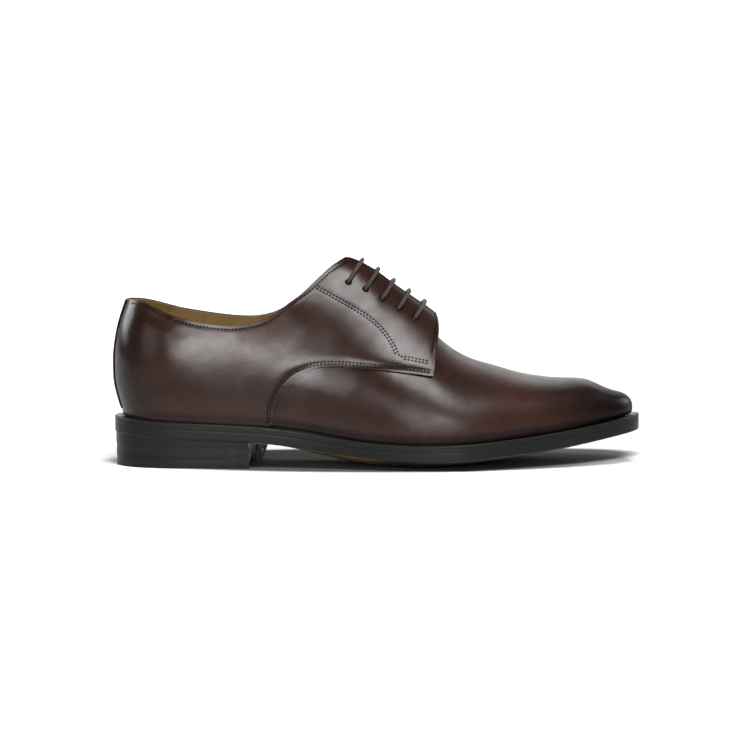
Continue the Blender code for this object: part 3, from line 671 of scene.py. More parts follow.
def flap_point(station, side, reach, off):
    """Point and outward direction on a flap, at a distance from the ridge's line, square to its slope."""
    turn = turn_at(station, INSTEP_PEAK * 0.8)
    rise = 1.0
    crest = last_surface(turn, 1.0, float(side), 1.0)[2]
    for _ in range(4):
        drop = crest - last_surface(turn, rise, float(side), 1.0)[2]
        turn = turn_at(station - LACE_LEAN * drop, INSTEP_PEAK * 0.8)
        rise = float(rise_at_reach(turn, side, reach, 1.0)[0])
    low = upper_point(turn, rise, side, 1.0, off - 1 * MM)
    high = upper_point(turn, rise, side, 1.0, off + 1 * MM)
    return (low + high) / 2, (high - low) / np.linalg.norm(high - low)


def eyelets():
    """Centre and outward direction of every eyelet, lateral side first."""
    found = []
    for side in (LATERAL, MEDIAL):
        for station in eyelet_stations():
            found.append(flap_point(station, side, EYELET_INSET, QUARTER_STEP))
    return found


def rounded(corners, radius):
    """Line of points through the corners, each corner rounded off within radius of it."""
    line = [corners[0]]
    for before, corner, after in zip(corners, corners[1:], corners[2:]):
        reach = min(radius, (before - corner).length * 0.45, (after - corner).length * 0.45)
        start = corner + (before - corner).normalized() * reach
        end = corner + (after - corner).normalized() * reach
        for t in np.linspace(0, 1, 4):
            line.append(start * (1 - t) ** 2 + corner * 2 * t * (1 - t) + end * t**2)
    line.append(corners[-1])
    return line


def lace_bar(station, first):
    """Corners of one crossing on top of the flaps, between the undersides of a pair of eyelets."""
    above = QUARTER_STEP + LACE_DIAMETER / 2 + LACE_RAISE
    below = QUARTER_STEP - UPPER_WALL - LACE_DIAMETER / 2 - 1.5 * CLEARANCE
    corners = []
    for side in (first, -first):
        spots = [(EYELET_INSET, below), (EYELET_INSET, above)]
        spots += [(reach, above) for reach in (EYELET_INSET * 0.7, EYELET_INSET * 0.45, THROAT_GAP / 2)]
        half = [Vector(flap_point(station, side, reach, off)[0]) for reach, off in spots]
        corners += half if side == first else half[::-1]
    return corners


SHIFT = np.array([-SHOE_LENGTH / 2, -widest_middle(), 0.0])

# Broad unevenness of the lasted leather: wave length along x, y and z, phase, height.
WAVES = (
    (61 * MM, 70 * MM, 55 * MM, 0.4, 0.10 * MM),
    (37 * MM, -48 * MM, 52 * MM, 2.1, 0.05 * MM),
    (23 * MM, 35 * MM, -27 * MM, 4.0, 0.018 * MM),
    (-15 * MM, 24 * MM, 19 * MM, 1.3, 0.008 * MM),
)

# Creases placed one by one: x from the heel's back and height of both ends, half width and depth.
CREASES = (
    # side, x and z of one end, x and z of the other, half width, depth
    (LATERAL, 13, 91.0, 31, 85.4, 2.0, 0.16),
    (LATERAL, 16, 87.4, 36, 82.4, 2.2, 0.14),
    (LATERAL, 21, 83.8, 33, 80.8, 2.0, 0.10),
    (LATERAL, 30, 80.0, 44, 77.5, 2.6, 0.08),
    (MEDIAL, 12, 90.4, 29, 86.0, 2.0, 0.16),
    (MEDIAL, 18, 86.0, 36, 82.0, 2.2, 0.14),
    (LATERAL, 190, 52.0, 214, 41.0, 9.0, 0.12),
    (LATERAL, 196, 60.0, 226, 48.0, 8.0, 0.10),
    (MEDIAL, 192, 54.0, 218, 42.0, 9.0, 0.12),
    (LATERAL, 96, 74.0, 130, 70.0, 12.0, 0.10),
    (LATERAL, 40, 56.0, 78, 60.0, 13.0, 0.10),
)

# Double stitch line of the facing, on the outer surface.
FACING = (
    # share of the shoe's length, height as a share of INSTEP_PEAK
    (0.3848, 0.869),
    (0.4052, 0.841),
    (0.4318, 0.803),
    (0.4563, 0.767),
    (0.4807, 0.729),
    (0.5012, 0.688),
    (0.5174, 0.643),
    (0.5295, 0.597),
    (0.5417, 0.535),
)
FACING_FOOT = ((0.5417, 0.535), (0.5580, 0.532), (0.5778, 0.522), (0.5986, 0.512))

# Thread, and how far the rows lie from the edges that they hold down
STITCH_PITCH = 2.05 * MM
STITCH_LENGTH = 1.5 * MM
STITCH_WIDTH = 1.15 * MM
STITCH_THICKNESS = 0.52 * MM
STITCH_PROUD = 0.02 * MM
ROW_GAP = 1.7 * MM
SEAM_INSETS = (1.7 * MM, 3.1 * MM)
TOPLINE_INSET = 2.0 * MM
STRIP_INSET = 1.3 * MM

# How far short of its line each row stops, at its start and at its end
SEAM_ENDS = (3.0 * MM, 2.0 * MM)
TOPLINE_ENDS = (1.0 * MM, 3.5 * MM)
FACING_ENDS = ((0.5 * MM, 0.2 * MM), (0.5 * MM, 1.9 * MM))
FACING_FOOT_ENDS = ((0.0, 1.0 * MM), (1.9 * MM, 1.0 * MM))


def spread(turn, rise, side, lifted, count):
    """The same line with its points spread evenly by length."""
    points = upper_point(turn, rise, side, lifted, 0.0)
    run = run_along(points)
    at = np.linspace(0, run[-1], count)
    return np.interp(at, run, turn), np.interp(at, run, rise)


def inset(turn, rise, side, lifted, distance):
    """The line moved over the surface, square to itself. Positive is to the left, seen from outside."""
    step = 1e-3
    side_row = np.full(len(turn), float(side))
    here = upper_point(turn, rise, side_row, lifted, 0.0)
    outward = upper_point(turn, rise, side_row, lifted, 1 * MM) - here
    tangent = np.gradient(here, axis=0)
    tangent /= np.linalg.norm(tangent, axis=1, keepdims=True)
    left = np.cross(outward, tangent)
    left /= np.linalg.norm(left, axis=1, keepdims=True)
    goal = here + left * distance
    for _ in range(3):
        now = upper_point(turn, rise, side_row, lifted, 0.0)
        by_turn = (upper_point(turn + step, rise, side_row, lifted, 0.0) - now) / step
        by_rise = (upper_point(turn, rise - step, side_row, lifted, 0.0) - now) / -step
        miss = goal - now
        a = (by_turn * by_turn).sum(1)
        b = (by_turn * by_rise).sum(1)
        c = (by_rise * by_rise).sum(1)
        p = (by_turn * miss).sum(1)
        q = (by_rise * miss).sum(1)
        det = np.maximum(a * c - b * b, 1e-12)
        turn = turn + (p * c - q * b) / det
        rise = rise + (q * a - p * b) / det
    return turn, rise


def heights_line(table, side, lifted, count):
    """A table of shares and heights as turns and rises."""
    shares = np.linspace(table[0][0], table[-1][0], count)
    heights = spline(shares, column(table, 0), column(table, 1)) * INSTEP_PEAK
    turns = turn_at(shares * SHOE_LENGTH, heights)
    return turns, rise_at(turns, heights, side, lifted)


class Row:
    """One row of stitches on a quarter: its turns and rises and the side it is on."""

    def __init__(self, turn, rise, side, off=QUARTER_STEP):
        self.turn, self.rise, self.side, self.off = turn, rise, side, off


def trimmed(turn, rise, side, start, end):
    """The line cut off at two lengths from its ends."""
    points = upper_point(turn, rise, side, 1.0, 0.0)
    run = run_along(points)
    at = np.linspace(start, run[-1] - end, len(turn))
    return np.interp(at, run, turn), np.interp(at, run, rise)


def quarter_outline(side):
    """The quarter's free edges: its front seam, and its topline with the throat and the flap's front."""
    (_, top_back), (seam, top_front) = quarter_edges(side)
    return seam, np.concatenate([top_back[:-1], top_front])


def strip_top():
    """Rise of the topline at the middle of the back."""
    return float(quarter_outline(LATERAL)[1][0, 1])


def strip_turn(rise, side, reach):
    """Turn that lies a distance to the side of the back's middle, for each rise."""
    turns = np.linspace(0, 0.6, 61)
    found = []
    for level in np.atleast_1d(rise):
        points = upper_point(turns, np.full(61, level), np.full(61, float(side)), 1.0, 0.0)
        run = run_along(points)
        found.append(np.interp(reach, run, turns))
    return np.array(found)


def stitch_rows():
    """Every stitch row of both quarters."""
    rows = []
    for side in (LATERAL, MEDIAL):
        seam, top = quarter_outline(side)
        turns, rises = spread(seam[:, 0], seam[:, 1], side, 1.0, 240)
        for distance in SEAM_INSETS:
            row = inset(turns, rises, side, 1.0, -side * distance)
            rows.append(Row(*trimmed(*row, side, *SEAM_ENDS), side))
        turns, rises = spread(top[2:, 0], top[2:, 1], side, 1.0, SEAM_POINTS)
        row = inset(turns, rises, side, 1.0, side * TOPLINE_INSET)
        rows.append(Row(*trimmed(*row, side, *TOPLINE_ENDS), side))
        for line, ends, count in ((FACING, FACING_ENDS, 80), (FACING_FOOT, FACING_FOOT_ENDS, 40)):
            turns, rises = heights_line(line, side, 1.0, count)
            second = inset(turns, rises, side, 1.0, side * ROW_GAP)
            rows.append(Row(*trimmed(turns, rises, side, *ends[0]), side))
            rows.append(Row(*trimmed(*second, side, *ends[1]), side))
        rises = np.linspace(0.03, strip_top() - 0.012, 120)
        turns = strip_turn(rises, side, STRIP_WIDTH / 2 - STRIP_INSET)
        rows.append(Row(turns, rises, side, QUARTER_STEP + STRIP_LEATHER))
    return rows


def row_points(row, pitch):
    """Points, directions and outward normals at a pitch along a stitch row, in the shoe's frame."""
    points = upper_point(row.turn, row.rise, row.side, 1.0, row.off)
    run = run_along(points)
    count = max(2, int(round(run[-1] / pitch)))
    at = (np.arange(count) + 0.5) * run[-1] / count
    turn = np.interp(at, run, row.turn)
    rise = np.interp(at, run, row.rise)
    middle = upper_point(turn, rise, row.side, 1.0, row.off)
    outer = upper_point(turn, rise, row.side, 1.0, row.off + 1 * MM)
    normal = (outer - middle) / np.linalg.norm(outer - middle, axis=1, keepdims=True)
    ahead = np.stack([np.interp(at + 0.3 * pitch, run, points[:, i]) for i in range(3)], axis=1)
    behind = np.stack([np.interp(at - 0.3 * pitch, run, points[:, i]) for i in range(3)], axis=1)
    tangent = (ahead - behind) / np.linalg.norm(ahead - behind, axis=1, keepdims=True)
    return middle, tangent, normal


def tree_of(points):
    """Search tree over a line of points."""
    tree = KDTree(len(points))
    for number, spot in enumerate(points):
        tree.insert(spot, number)
    tree.balance()
    return tree


def distance_to(tree, points):
    """Distance from each point to the line that the tree was made of."""
    return np.array([tree.find(point)[2] for point in points])


def front_seam_line(side):
    """Points along the quarter's front seam, on its outer surface."""
    front = quarter_outline(side)[0][1:]
    turn, rise = spread(front[:, 0], front[:, 1], side, 1.0, SEAM_POINTS)
    return upper_point(turn, rise, np.full(SEAM_POINTS, float(side)), 1.0, QUARTER_STEP)


ROWS = stitch_rows()
SEAM_TREE = tree_of(np.concatenate([row_points(row, 0.5 * MM)[0] for row in ROWS]))
EDGE_TREE = tree_of(np.concatenate([front_seam_line(side) for side in (LATERAL, MEDIAL)]))


def relief(points, side, seams):
    """How far the leather stands in or out: broad waves, listed creases, stitches and skived seams."""
    height = np.zeros(len(points))
    for long_x, long_y, long_z, phase, size in WAVES:
        reach = points[:, 0] / long_x + points[:, 1] / long_y + points[:, 2] / long_z
        height += size * np.sin(2 * math.pi * reach + phase)
    for crease_side, x1, z1, x2, z2, half, depth in CREASES:
        start = np.array([x1, z1]) * MM
        span = np.array([x2, z2]) * MM - start
        flat = points[:, [0, 2]] - start
        share = (flat @ span) / (span @ span)
        distance = np.linalg.norm(flat - np.clip(share, 0, 1)[:, None] * span, axis=1) / (half * MM)
        fade = ease(share / 0.25 + 0.4) * ease((1 - share) / 0.25 + 0.4) * (side == crease_side)
        trough = -np.exp(-(distance**2)) + 0.45 * np.exp(-((distance - 2.0) ** 2))
        height += depth * MM * fade * trough
    if seams:
        height -= SEAM_PULL * np.exp(-((distance_to(SEAM_TREE, points) / SEAM_PULL_REACH) ** 2))
        height -= SKIVE * np.exp(-((distance_to(EDGE_TREE, points) / SKIVE_REACH) ** 2))
    return height


def walls(made, raised):
    """Faces that run between the corners that were raised and the others."""
    found = []
    for face in made.faces:
        count = sum(corner in raised for corner in face.verts)
        if 0 < count < len(face.verts):
            found.append(face)
    return found


def leather_sheet(
    columns, rows, coordinates, outer, thickness, edge, closed_end=False, seams=False, rolled=False
):
    """Closed sheet of leather with rounded rims, as a mesh in the making.

    coordinates(u, v) gives turn, rise, side and lift. The rim's faces get material 1, apart from a rolled
    top's. A closed end is a sheet that comes together in a point at the toe.
    """
    made = bmesh.new()
    bmesh.ops.create_grid(made, x_segments=columns, y_segments=rows, size=0.5)
    outside = made.verts[:]
    found = bmesh.ops.extrude_face_region(made, geom=made.faces[:])
    inside = [item for item in found["geom"] if isinstance(item, bmesh.types.BMVert)]
    inner = set(inside)
    rim = walls(made, inner)
    if closed_end:
        tip = [face for face in rim if min(corner.co.x for corner in face.verts) > 0.5 - 1e-6]
        rim = [face for face in rim if face not in set(tip)]
        bmesh.ops.delete(made, geom=tip, context="FACES")
    for face in rim:
        face.material_index = 0 if rolled and min(corner.co.y for corner in face.verts) > 0.5 - 1e-6 else 1
    edges = set()
    for face in rim:
        edges |= {item for item in face.edges if len({corner in inner for corner in item.verts}) == 1}
    spots = {}
    for corners, off in ((outside, outer), (inside, outer - thickness)):
        flat = np.array([corner.co[:] for corner in corners]) + 0.5
        turn, rise, side, lift = coordinates(flat[:, 0], flat[:, 1])
        base = upper_point(turn, rise, side, lift, outer)
        spots[off] = upper_point(turn, rise, side, lift, off + relief(base, side, seams and off == outer))
        for corner, point in zip(corners, spots[off] + SHIFT):
            corner.co = point
    if edge:
        bmesh.ops.bevel(
            made,
            geom=list(edges),
            offset=edge,
            offset_type="OFFSET",
            segments=3,
            profile=0.5,
            affect="EDGES",
            clamp_overlap=True,
            material=-1,
        )
    return made


def finished(made, name, materials, node=None, merge=1e-6, flat_walls=False):
    """Object of a mesh, which rides with the shoe, has a slot and may stand for a CAD node."""
    bmesh.ops.remove_doubles(made, verts=made.verts, dist=merge)
    bmesh.ops.dissolve_degenerate(made, edges=made.edges, dist=1e-8)
    bmesh.ops.recalc_face_normals(made, faces=made.faces)
    if made.calc_volume(signed=True) < 0:
        bmesh.ops.reverse_faces(made, faces=made.faces)
    mesh = bpy.data.meshes.new(name)
    made.to_mesh(mesh)
    made.free()
    smooth(mesh)
    for material in materials:
        mesh.materials.append(material)
    piece = bpy.data.objects.new(name, mesh)
    bpy.context.scene.collection.objects.link(piece)
    if flat_walls:
        weighted = piece.modifiers.new("flat_walls", "WEIGHTED_NORMAL")
        weighted.keep_sharp = True
        piece.data = mesh_of(piece)
        piece.modifiers.clear()
    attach(piece, "root")
    if node:
        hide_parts(node)
    return piece


class Finish:
    """A node material that is built up in plain steps."""

    def __init__(self, name, roughness, **sockets):
        self.material = bpy.data.materials.new(name)
        self.material.use_nodes = True
        self.nodes = self.material.node_tree.nodes
        self.links = self.material.node_tree.links
        self.shader = self.nodes["Principled BSDF"]
        self.shader.inputs["Roughness"].default_value = roughness
        for socket, value in sockets.items():
            self.shader.inputs[socket.replace("_", " ")].default_value = value
        self.place = self.nodes.new("ShaderNodeTexCoord").outputs["Object"]
        self.height = None

    def join(self, value, socket):
        if hasattr(value, "links"):
            self.links.new(value, socket)
        else:
            socket.default_value = value

    def stretched(self, scale):
        mapping = self.nodes.new("ShaderNodeMapping")
        mapping.inputs["Scale"].default_value = scale
        self.links.new(self.place, mapping.inputs["Vector"])
        return mapping.outputs["Vector"]

    def noise(self, scale, detail=3.0, roughness=0.5, coordinates=None, distortion=0.0):
        node = self.nodes.new("ShaderNodeTexNoise")
        node.inputs["Scale"].default_value = scale
        node.inputs["Detail"].default_value = detail
        node.inputs["Roughness"].default_value = roughness
        node.inputs["Distortion"].default_value = distortion
        self.links.new(coordinates or self.place, node.inputs["Vector"])
        return node.outputs["Fac"]

    def cells(self, scale):
        node = self.nodes.new("ShaderNodeTexVoronoi")
        node.inputs["Scale"].default_value = scale
        self.links.new(self.place, node.inputs["Vector"])
        return node.outputs["Distance"]

    def sheet_value(self, name):
        """A value painted on the mesh, such as how near a seam is."""
        node = self.nodes.new("ShaderNodeAttribute")
        node.attribute_name = name
        return node.outputs["Fac"]

    def axis(self, number, coordinates=None):
        """One coordinate of the place on the shoe: 0 for x, 1 for y, 2 for z."""
        node = self.nodes.new("ShaderNodeSeparateXYZ")
        self.links.new(coordinates or self.place, node.inputs[0])
        return node.outputs[number]

    def ramp(self, value, low, high, to_low=0.0, to_high=1.0):
        """Runs smoothly from to_low to to_high as value goes from low to high."""
        node = self.nodes.new("ShaderNodeMapRange")
        node.interpolation_type = "SMOOTHSTEP"
        self.join(value, node.inputs["Value"])
        ends = (("From Min", low), ("From Max", high), ("To Min", to_low), ("To Max", to_high))
        for socket, number in ends:
            node.inputs[socket].default_value = number
        return node.outputs["Result"]

    def reckon(self, a, b, how="ADD"):
        """Arithmetic on one or two values, such as ADD, MAXIMUM or SINE."""
        node = self.nodes.new("ShaderNodeMath")
        node.operation = how
        self.join(a, node.inputs[0])
        self.join(b, node.inputs[1])
        return node.outputs["Value"]

    def blend(self, share, first, second):
        """Colour that goes from first to second with share."""
        node = self.nodes.new("ShaderNodeMix")
        node.data_type = "RGBA"
        sockets = [s for s in node.inputs if s.enabled]
        for socket, value in zip(sockets, (share, first, second)):
            if isinstance(value, tuple):
                value = (*value, 1.0)
            self.join(value, socket)
        return next(s for s in node.outputs if s.enabled)

    def colour(self, value):
        if isinstance(value, tuple):
            value = (*value, 1.0)
        self.join(value, self.shader.inputs["Base Color"])

    def rough(self, value):
        self.join(value, self.shader.inputs["Roughness"])

    def bump(self, value, strength, distance):
        node = self.nodes.new("ShaderNodeBump")
        node.inputs["Strength"].default_value = strength
        node.inputs["Distance"].default_value = distance
        self.links.new(value, node.inputs["Height"])
        if self.height:
            self.links.new(self.height, node.inputs["Normal"])
        self.height = node.outputs["Normal"]
        self.links.new(self.height, self.shader.inputs["Normal"])


def burnished_leather():
    """Dark brown polished calf, nearly black at the toe and the heel, redder where the polish is thin."""
    made = Finish("burnished_leather", 0.22)
    facing = made.nodes.new("ShaderNodeLayerWeight").outputs["Facing"]
    polish = made.ramp(facing, 0.5, 0.86, POLISH_FACING, POLISH_GRAZING)
    x = made.axis(0)
    z = made.axis(2)
    toe = made.ramp(x, *TOE_BURNISH)
    heel = made.ramp(x, *HEEL_BURNISH)
    cloud = made.noise(26, 4, 0.55)
    patch = made.noise(11, 2, 0.5, made.stretched((1, 1, 1.6)))
    uneven = made.ramp(cloud, 0.35, 0.75, 0.55, 1.0)
    red = made.reckon(made.ramp(patch, 0.46, 0.72, 0.0, 0.75), uneven, "MULTIPLY")
    colour = made.blend(red, UPPER_BROWN, UPPER_RED)
    # Painted light: the floor's bounce, as a redder, lighter band low on the upper.
    slope = made.reckon(made.reckon(x, PAINTED_BOUNCE_LEVEL_BEHIND, "MAXIMUM"), PAINTED_BOUNCE_SLOPE, "MULTIPLY")
    band = made.ramp(made.reckon(z, slope), *PAINTED_BOUNCE_BAND)
    low = made.reckon(band, made.ramp(cloud, 0.3, 0.8, 0.75, 1.0), "MULTIPLY")
    colour = made.blend(low, colour, UPPER_PAINTED_BOUNCE)
    dulled = made.reckon(1.0, made.reckon(toe, 0.55, "MULTIPLY"), "SUBTRACT")
    polish = made.reckon(polish, dulled, "MULTIPLY")
    fine_rub = made.ramp(made.noise(120, 4, 0.65), 0.35, 0.7, 1.08, 0.84)
    rubbed = made.reckon(made.ramp(cloud, 0.32, 0.68, 1.10, 0.80), fine_rub, "MULTIPLY")
    made.join(made.reckon(polish, rubbed, "MULTIPLY"), made.shader.inputs["Specular IOR Level"])
    dark = made.reckon(toe, made.reckon(heel, 0.75, "MULTIPLY"), "MAXIMUM")
    # Painted shade from the seam and rim values: stitch grooves, eyelets, the vamp by the quarters' edges
    # and the crease above the welt; rim also carries the quarters' edge ink.
    for name in ("seam", "rim"):
        dark = made.reckon(dark, made.sheet_value(name), "MAXIMUM")
    dark = made.reckon(dark, made.ramp(cloud, 0.2, 0.8, 0.92, 1.0), "MULTIPLY")
    made.colour(made.blend(dark, colour, UPPER_DARK))
    wear = made.noise(90, 4, 0.6)
    rough = made.reckon(made.ramp(wear, 0.3, 0.75, 0.0, 0.06), made.ramp(cloud, 0.35, 0.7, 0.15, 0.24))
    made.rough(made.reckon(rough, made.ramp(x, 0.005, 0.05, 0.0, 0.13)))
    made.bump(made.noise(30, 2, 0.4), 0.035, 1.0 * MM)
    made.bump(made.noise(140, 4, 0.62, made.stretched((1, 1, 1.5)), 0.4), 0.11, 0.35 * MM)
    made.bump(made.cells(1500), 0.24, 0.10 * MM)
    made.bump(made.noise(2600, 2, 0.6), 0.16, 0.06 * MM)
    return made.material


def cut_edge():
    """Edge of the leather, inked dark and a little rough."""
    made = Finish("inked_cut_edge", 0.42, Specular_IOR_Level=0.08)
    fibre = made.noise(900, 3, 0.6, made.stretched((1, 1, 3)))
    made.colour(made.blend(made.ramp(fibre, 0.4, 0.8), EDGE_DARK, UPPER_DARK))
    made.bump(fibre, 0.3, 0.1 * MM)
    return made.material


def lining_leather():
    """Vegetable tanned lining in mustard tan, darker where it has been handled."""
    made = Finish("tan_lining", 0.62, Specular_IOR_Level=0.1)
    cloud = made.noise(38, 5, 0.6)
    vein = made.noise(160, 4, 0.65, made.stretched((1, 1, 0.35)), 0.6)
    colour = made.blend(made.ramp(cloud, 0.42, 0.6), LINING_TAN, LINING_WORN)
    made.colour(made.blend(made.ramp(vein, 0.55, 0.70, 0.0, 0.45), colour, LINING_DARK))
    made.bump(made.noise(120, 4, 0.6), 0.35, 0.5 * MM)
    made.bump(made.cells(1100), 0.15, 0.12 * MM)
    return made.material


def lining_edge():
    """Raw edge of the lining, a little fibrous."""
    made = Finish("lining_cut_edge", 0.6)
    fibre = made.noise(700, 3, 0.6)
    made.colour(made.blend(made.ramp(fibre, 0.35, 0.75), LINING_TAN, LINING_WORN))
    made.bump(fibre, 0.3, 0.1 * MM)
    return made.material


def thread():
    """Waxed dark thread with a slight twist."""
    made = Finish("waxed_thread", 0.5, Specular_IOR_Level=0.05)
    twist = made.noise(1800, 2, 0.5)
    made.colour(made.blend(made.ramp(twist, 0.3, 0.6), THREAD_DARK, THREAD_WAXED))
    made.bump(twist, 0.3, 0.08 * MM)
    return made.material


def waxed_edge(name="waxed_sole_edge", lines=False):
    """Sole or heel edge, inked black and waxed. The heel shows the thin lines of its leather lifts."""
    made = Finish(name, 0.42, Specular_IOR_Level=0.065)
    grain = made.noise(420, 4, 0.6, made.stretched((0.12, 0.12, 1.0)))
    cloud = made.noise(60, 3, 0.5)
    if lines:
        layers = made.noise(330, 3, 0.65, made.stretched((0.03, 0.03, 1.0)))
        made.bump(layers, 0.18, 0.12 * MM)
        worn = made.ramp(layers, 0.5, 0.75, 0.0, 0.7)
    else:
        worn = made.ramp(grain, 0.5, 0.8, 0.0, 0.45)
    made.colour(made.blend(worn, SOLE_BLACK, SOLE_WORN))
    made.rough(made.ramp(cloud, 0.3, 0.7, 0.34, 0.46))
    made.bump(grain, 0.3, 0.12 * MM)
    return made.material


def sole_underside():
    """Smooth tan sole leather at the waist, with faint fibre, black at the tread and over the heel."""
    made = Finish("tan_sole_leather", 0.5, Coat_Weight=0.1, Coat_Roughness=0.4)
    cloud = made.noise(45, 5, 0.6)
    fibre = made.noise(900, 3, 0.6)
    colour = made.blend(made.ramp(cloud, 0.3, 0.75), UNDERSIDE_TAN, LINING_WORN)
    colour = made.blend(made.ramp(fibre, 0.6, 0.8, 0.0, 0.3), colour, LINING_WORN)
    x = made.axis(0)
    black_share = made.reckon(made.ramp(x, *TAN_FRONT), made.ramp(x, *TAN_REAR), "MAXIMUM")
    made.colour(made.blend(black_share, colour, SOLE_BLACK))
    made.bump(fibre, 0.2, 0.08 * MM)
    made.bump(made.noise(200, 4, 0.6), 0.15, 0.2 * MM)
    return made.material


def heel_rubber():
    """Plain black rubber of the top piece."""
    made = Finish("heel_rubber", 0.55, Specular_IOR_Level=0.1)
    grit = made.noise(1300, 3, 0.6)
    made.colour(made.blend(made.ramp(grit, 0.4, 0.8), RUBBER_BLACK, SOLE_WORN))
    made.bump(grit, 0.25, 0.1 * MM)
    return made.material


def lace_cord():
    """Round waxed cotton cord: two sets of strands wound round it. Its UV map runs in lace turns."""
    made = Finish("waxed_lace", 0.46, Specular_IOR_Level=0.16)
    uv = made.nodes.new("ShaderNodeUVMap")
    uv.uv_map = "UVMap"
    along = made.axis(0, uv.outputs["UV"])
    around = made.axis(1, uv.outputs["UV"])
    strands = []
    for way in (1.0, -1.0):
        turns = made.reckon(made.reckon(along, 5.0, "MULTIPLY"), made.reckon(around, 4.0 * way, "MULTIPLY"))
        strands.append(made.reckon(made.reckon(turns, 2 * math.pi, "MULTIPLY"), 0.0, "SINE"))
    weave = made.reckon(strands[0], strands[1], "MAXIMUM")
    fibre = made.noise(2200, 3, 0.6)
    made.colour(made.blend(made.ramp(weave, -0.2, 0.9), THREAD_DARK, LACE_BROWN))
    made.bump(weave, 0.55, 0.12 * MM)
    made.bump(fibre, 0.25, 0.05 * MM)
    return made.material


def floor_paint():
    """Pale paper, with a painted shadow: darker in an oval under the shoe."""
    made = Finish("pale_floor_painted_shadow", 0.8, Specular_IOR_Level=0.0)
    x = made.reckon(made.reckon(made.axis(0), SHADE_LENGTH, "DIVIDE"), 2.0, "POWER")
    ahead = made.reckon(made.reckon(made.axis(0), SHADE_SWING_START, "SUBTRACT"), 0.0, "MAXIMUM")
    swing = made.reckon(ahead, SHADE_SWING, "MULTIPLY")
    middle = made.reckon(made.reckon(made.axis(1), SHADE_MIDDLE, "SUBTRACT"), swing, "SUBTRACT")
    y = made.reckon(made.reckon(middle, SHADE_WIDTH, "DIVIDE"), 2.0, "POWER")
    # Painted shadow: the floor is darker inside the oval, which swings to the inner side at the toe.
    under = made.ramp(made.reckon(x, y), 0.74, 1.02)
    made.colour(made.blend(under, FLOOR_PAINTED_SHADOW, FLOOR_PAPER))
    return made.material


def smooth(mesh):
    """Smooth shading, apart from the sharp edges."""
    mesh.shade_smooth()
    mesh.set_sharp_from_angle(angle=SHARP_TURN)


def mesh_of(piece):
    """The piece's mesh with its modifiers applied."""
    graph = bpy.context.evaluated_depsgraph_get()
    return bpy.data.meshes.new_from_object(piece.evaluated_get(graph))


def painted(piece, name, values):
    """Writes one value for each corner of the piece's mesh, which its material reads."""
    layer = piece.data.attributes.new(name, "FLOAT", "POINT")
    layer.data.foreach_set("value", np.asarray(values, np.float32))


def corners_of(piece):
    """Every corner of the piece's mesh as rows of x, y and z."""
    flat = np.empty(len(piece.data.vertices) * 3, np.float32)
    piece.data.vertices.foreach_get("co", flat)
    return flat.reshape(-1, 3).astype(float)


def nearness(points, line, reach):
    """1 on a line of points, fading to 0 within the reach of it."""
    return np.exp(-((distance_to(tree_of(line), points) / reach) ** 2))


def edge_points(side, edge, off):
    """Points along an edge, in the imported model's frame."""
    turn, rise = spread(edge[:, 0], edge[:, 1], side, 1.0, EDGE_POINTS)
    return upper_point(turn, rise, np.full(EDGE_POINTS, float(side)), 1.0, off) + SHIFT


def shade_seams(piece, on_vamp):
    """Paints shade and ink by how near each corner is to a stitch row and to a cut edge: painted shade in
    the stitch grooves, on the vamp along the quarters' edges, round the eyelets and above the welt, and
    dark ink along the quarters' own edges.
    """
    points = corners_of(piece)
    # Painted shade in the stitch grooves.
    seam = np.exp(-((distance_to(SEAM_TREE, points - SHIFT) / SEAM_SHADE) ** 2))
    # Painted shade on the vamp along the quarters' edges; on the quarters, dark ink along their own edges.
    rim = np.zeros(len(points))
    for side in (LATERAL, MEDIAL):
        front, top = quarter_outline(side)
        for edge in (front[1:], top):
            line = edge_points(side, edge, 0.0 if on_vamp else QUARTER_STEP)
            reach = RIM_SHADE_ON_VAMP if on_vamp else RIM_SHADE_ON_QUARTER
            rim = np.maximum(rim, nearness(points, line, reach))
    # Painted shade in the crease where the upper meets the welt.
    feather = np.zeros(len(points))
    turns = np.linspace(0, math.pi, EDGE_POINTS)
    for side in (LATERAL, MEDIAL):
        line = upper_point(turns, 0.0, side, 0.0, 0.0) + SHIFT
        feather = np.maximum(feather, nearness(points, line, FEATHER_SHADE))
    # Painted shade round the eyelet holes.
    if not on_vamp:
        holes = np.array([hole[0] for hole in eyelets()]) + SHIFT
        rim = np.maximum(rim, EYELET_SHADE_STRENGTH * nearness(points, holes, EYELET_SHADE))
    painted(piece, "seam", seam * (0.0 if on_vamp else SEAM_SHADE_STRENGTH))
    rim_strength = RIM_STRENGTH_ON_VAMP if on_vamp else RIM_STRENGTH_ON_QUARTER
    painted(piece, "rim", np.maximum(rim * rim_strength, FEATHER_SHADE_STRENGTH * feather))


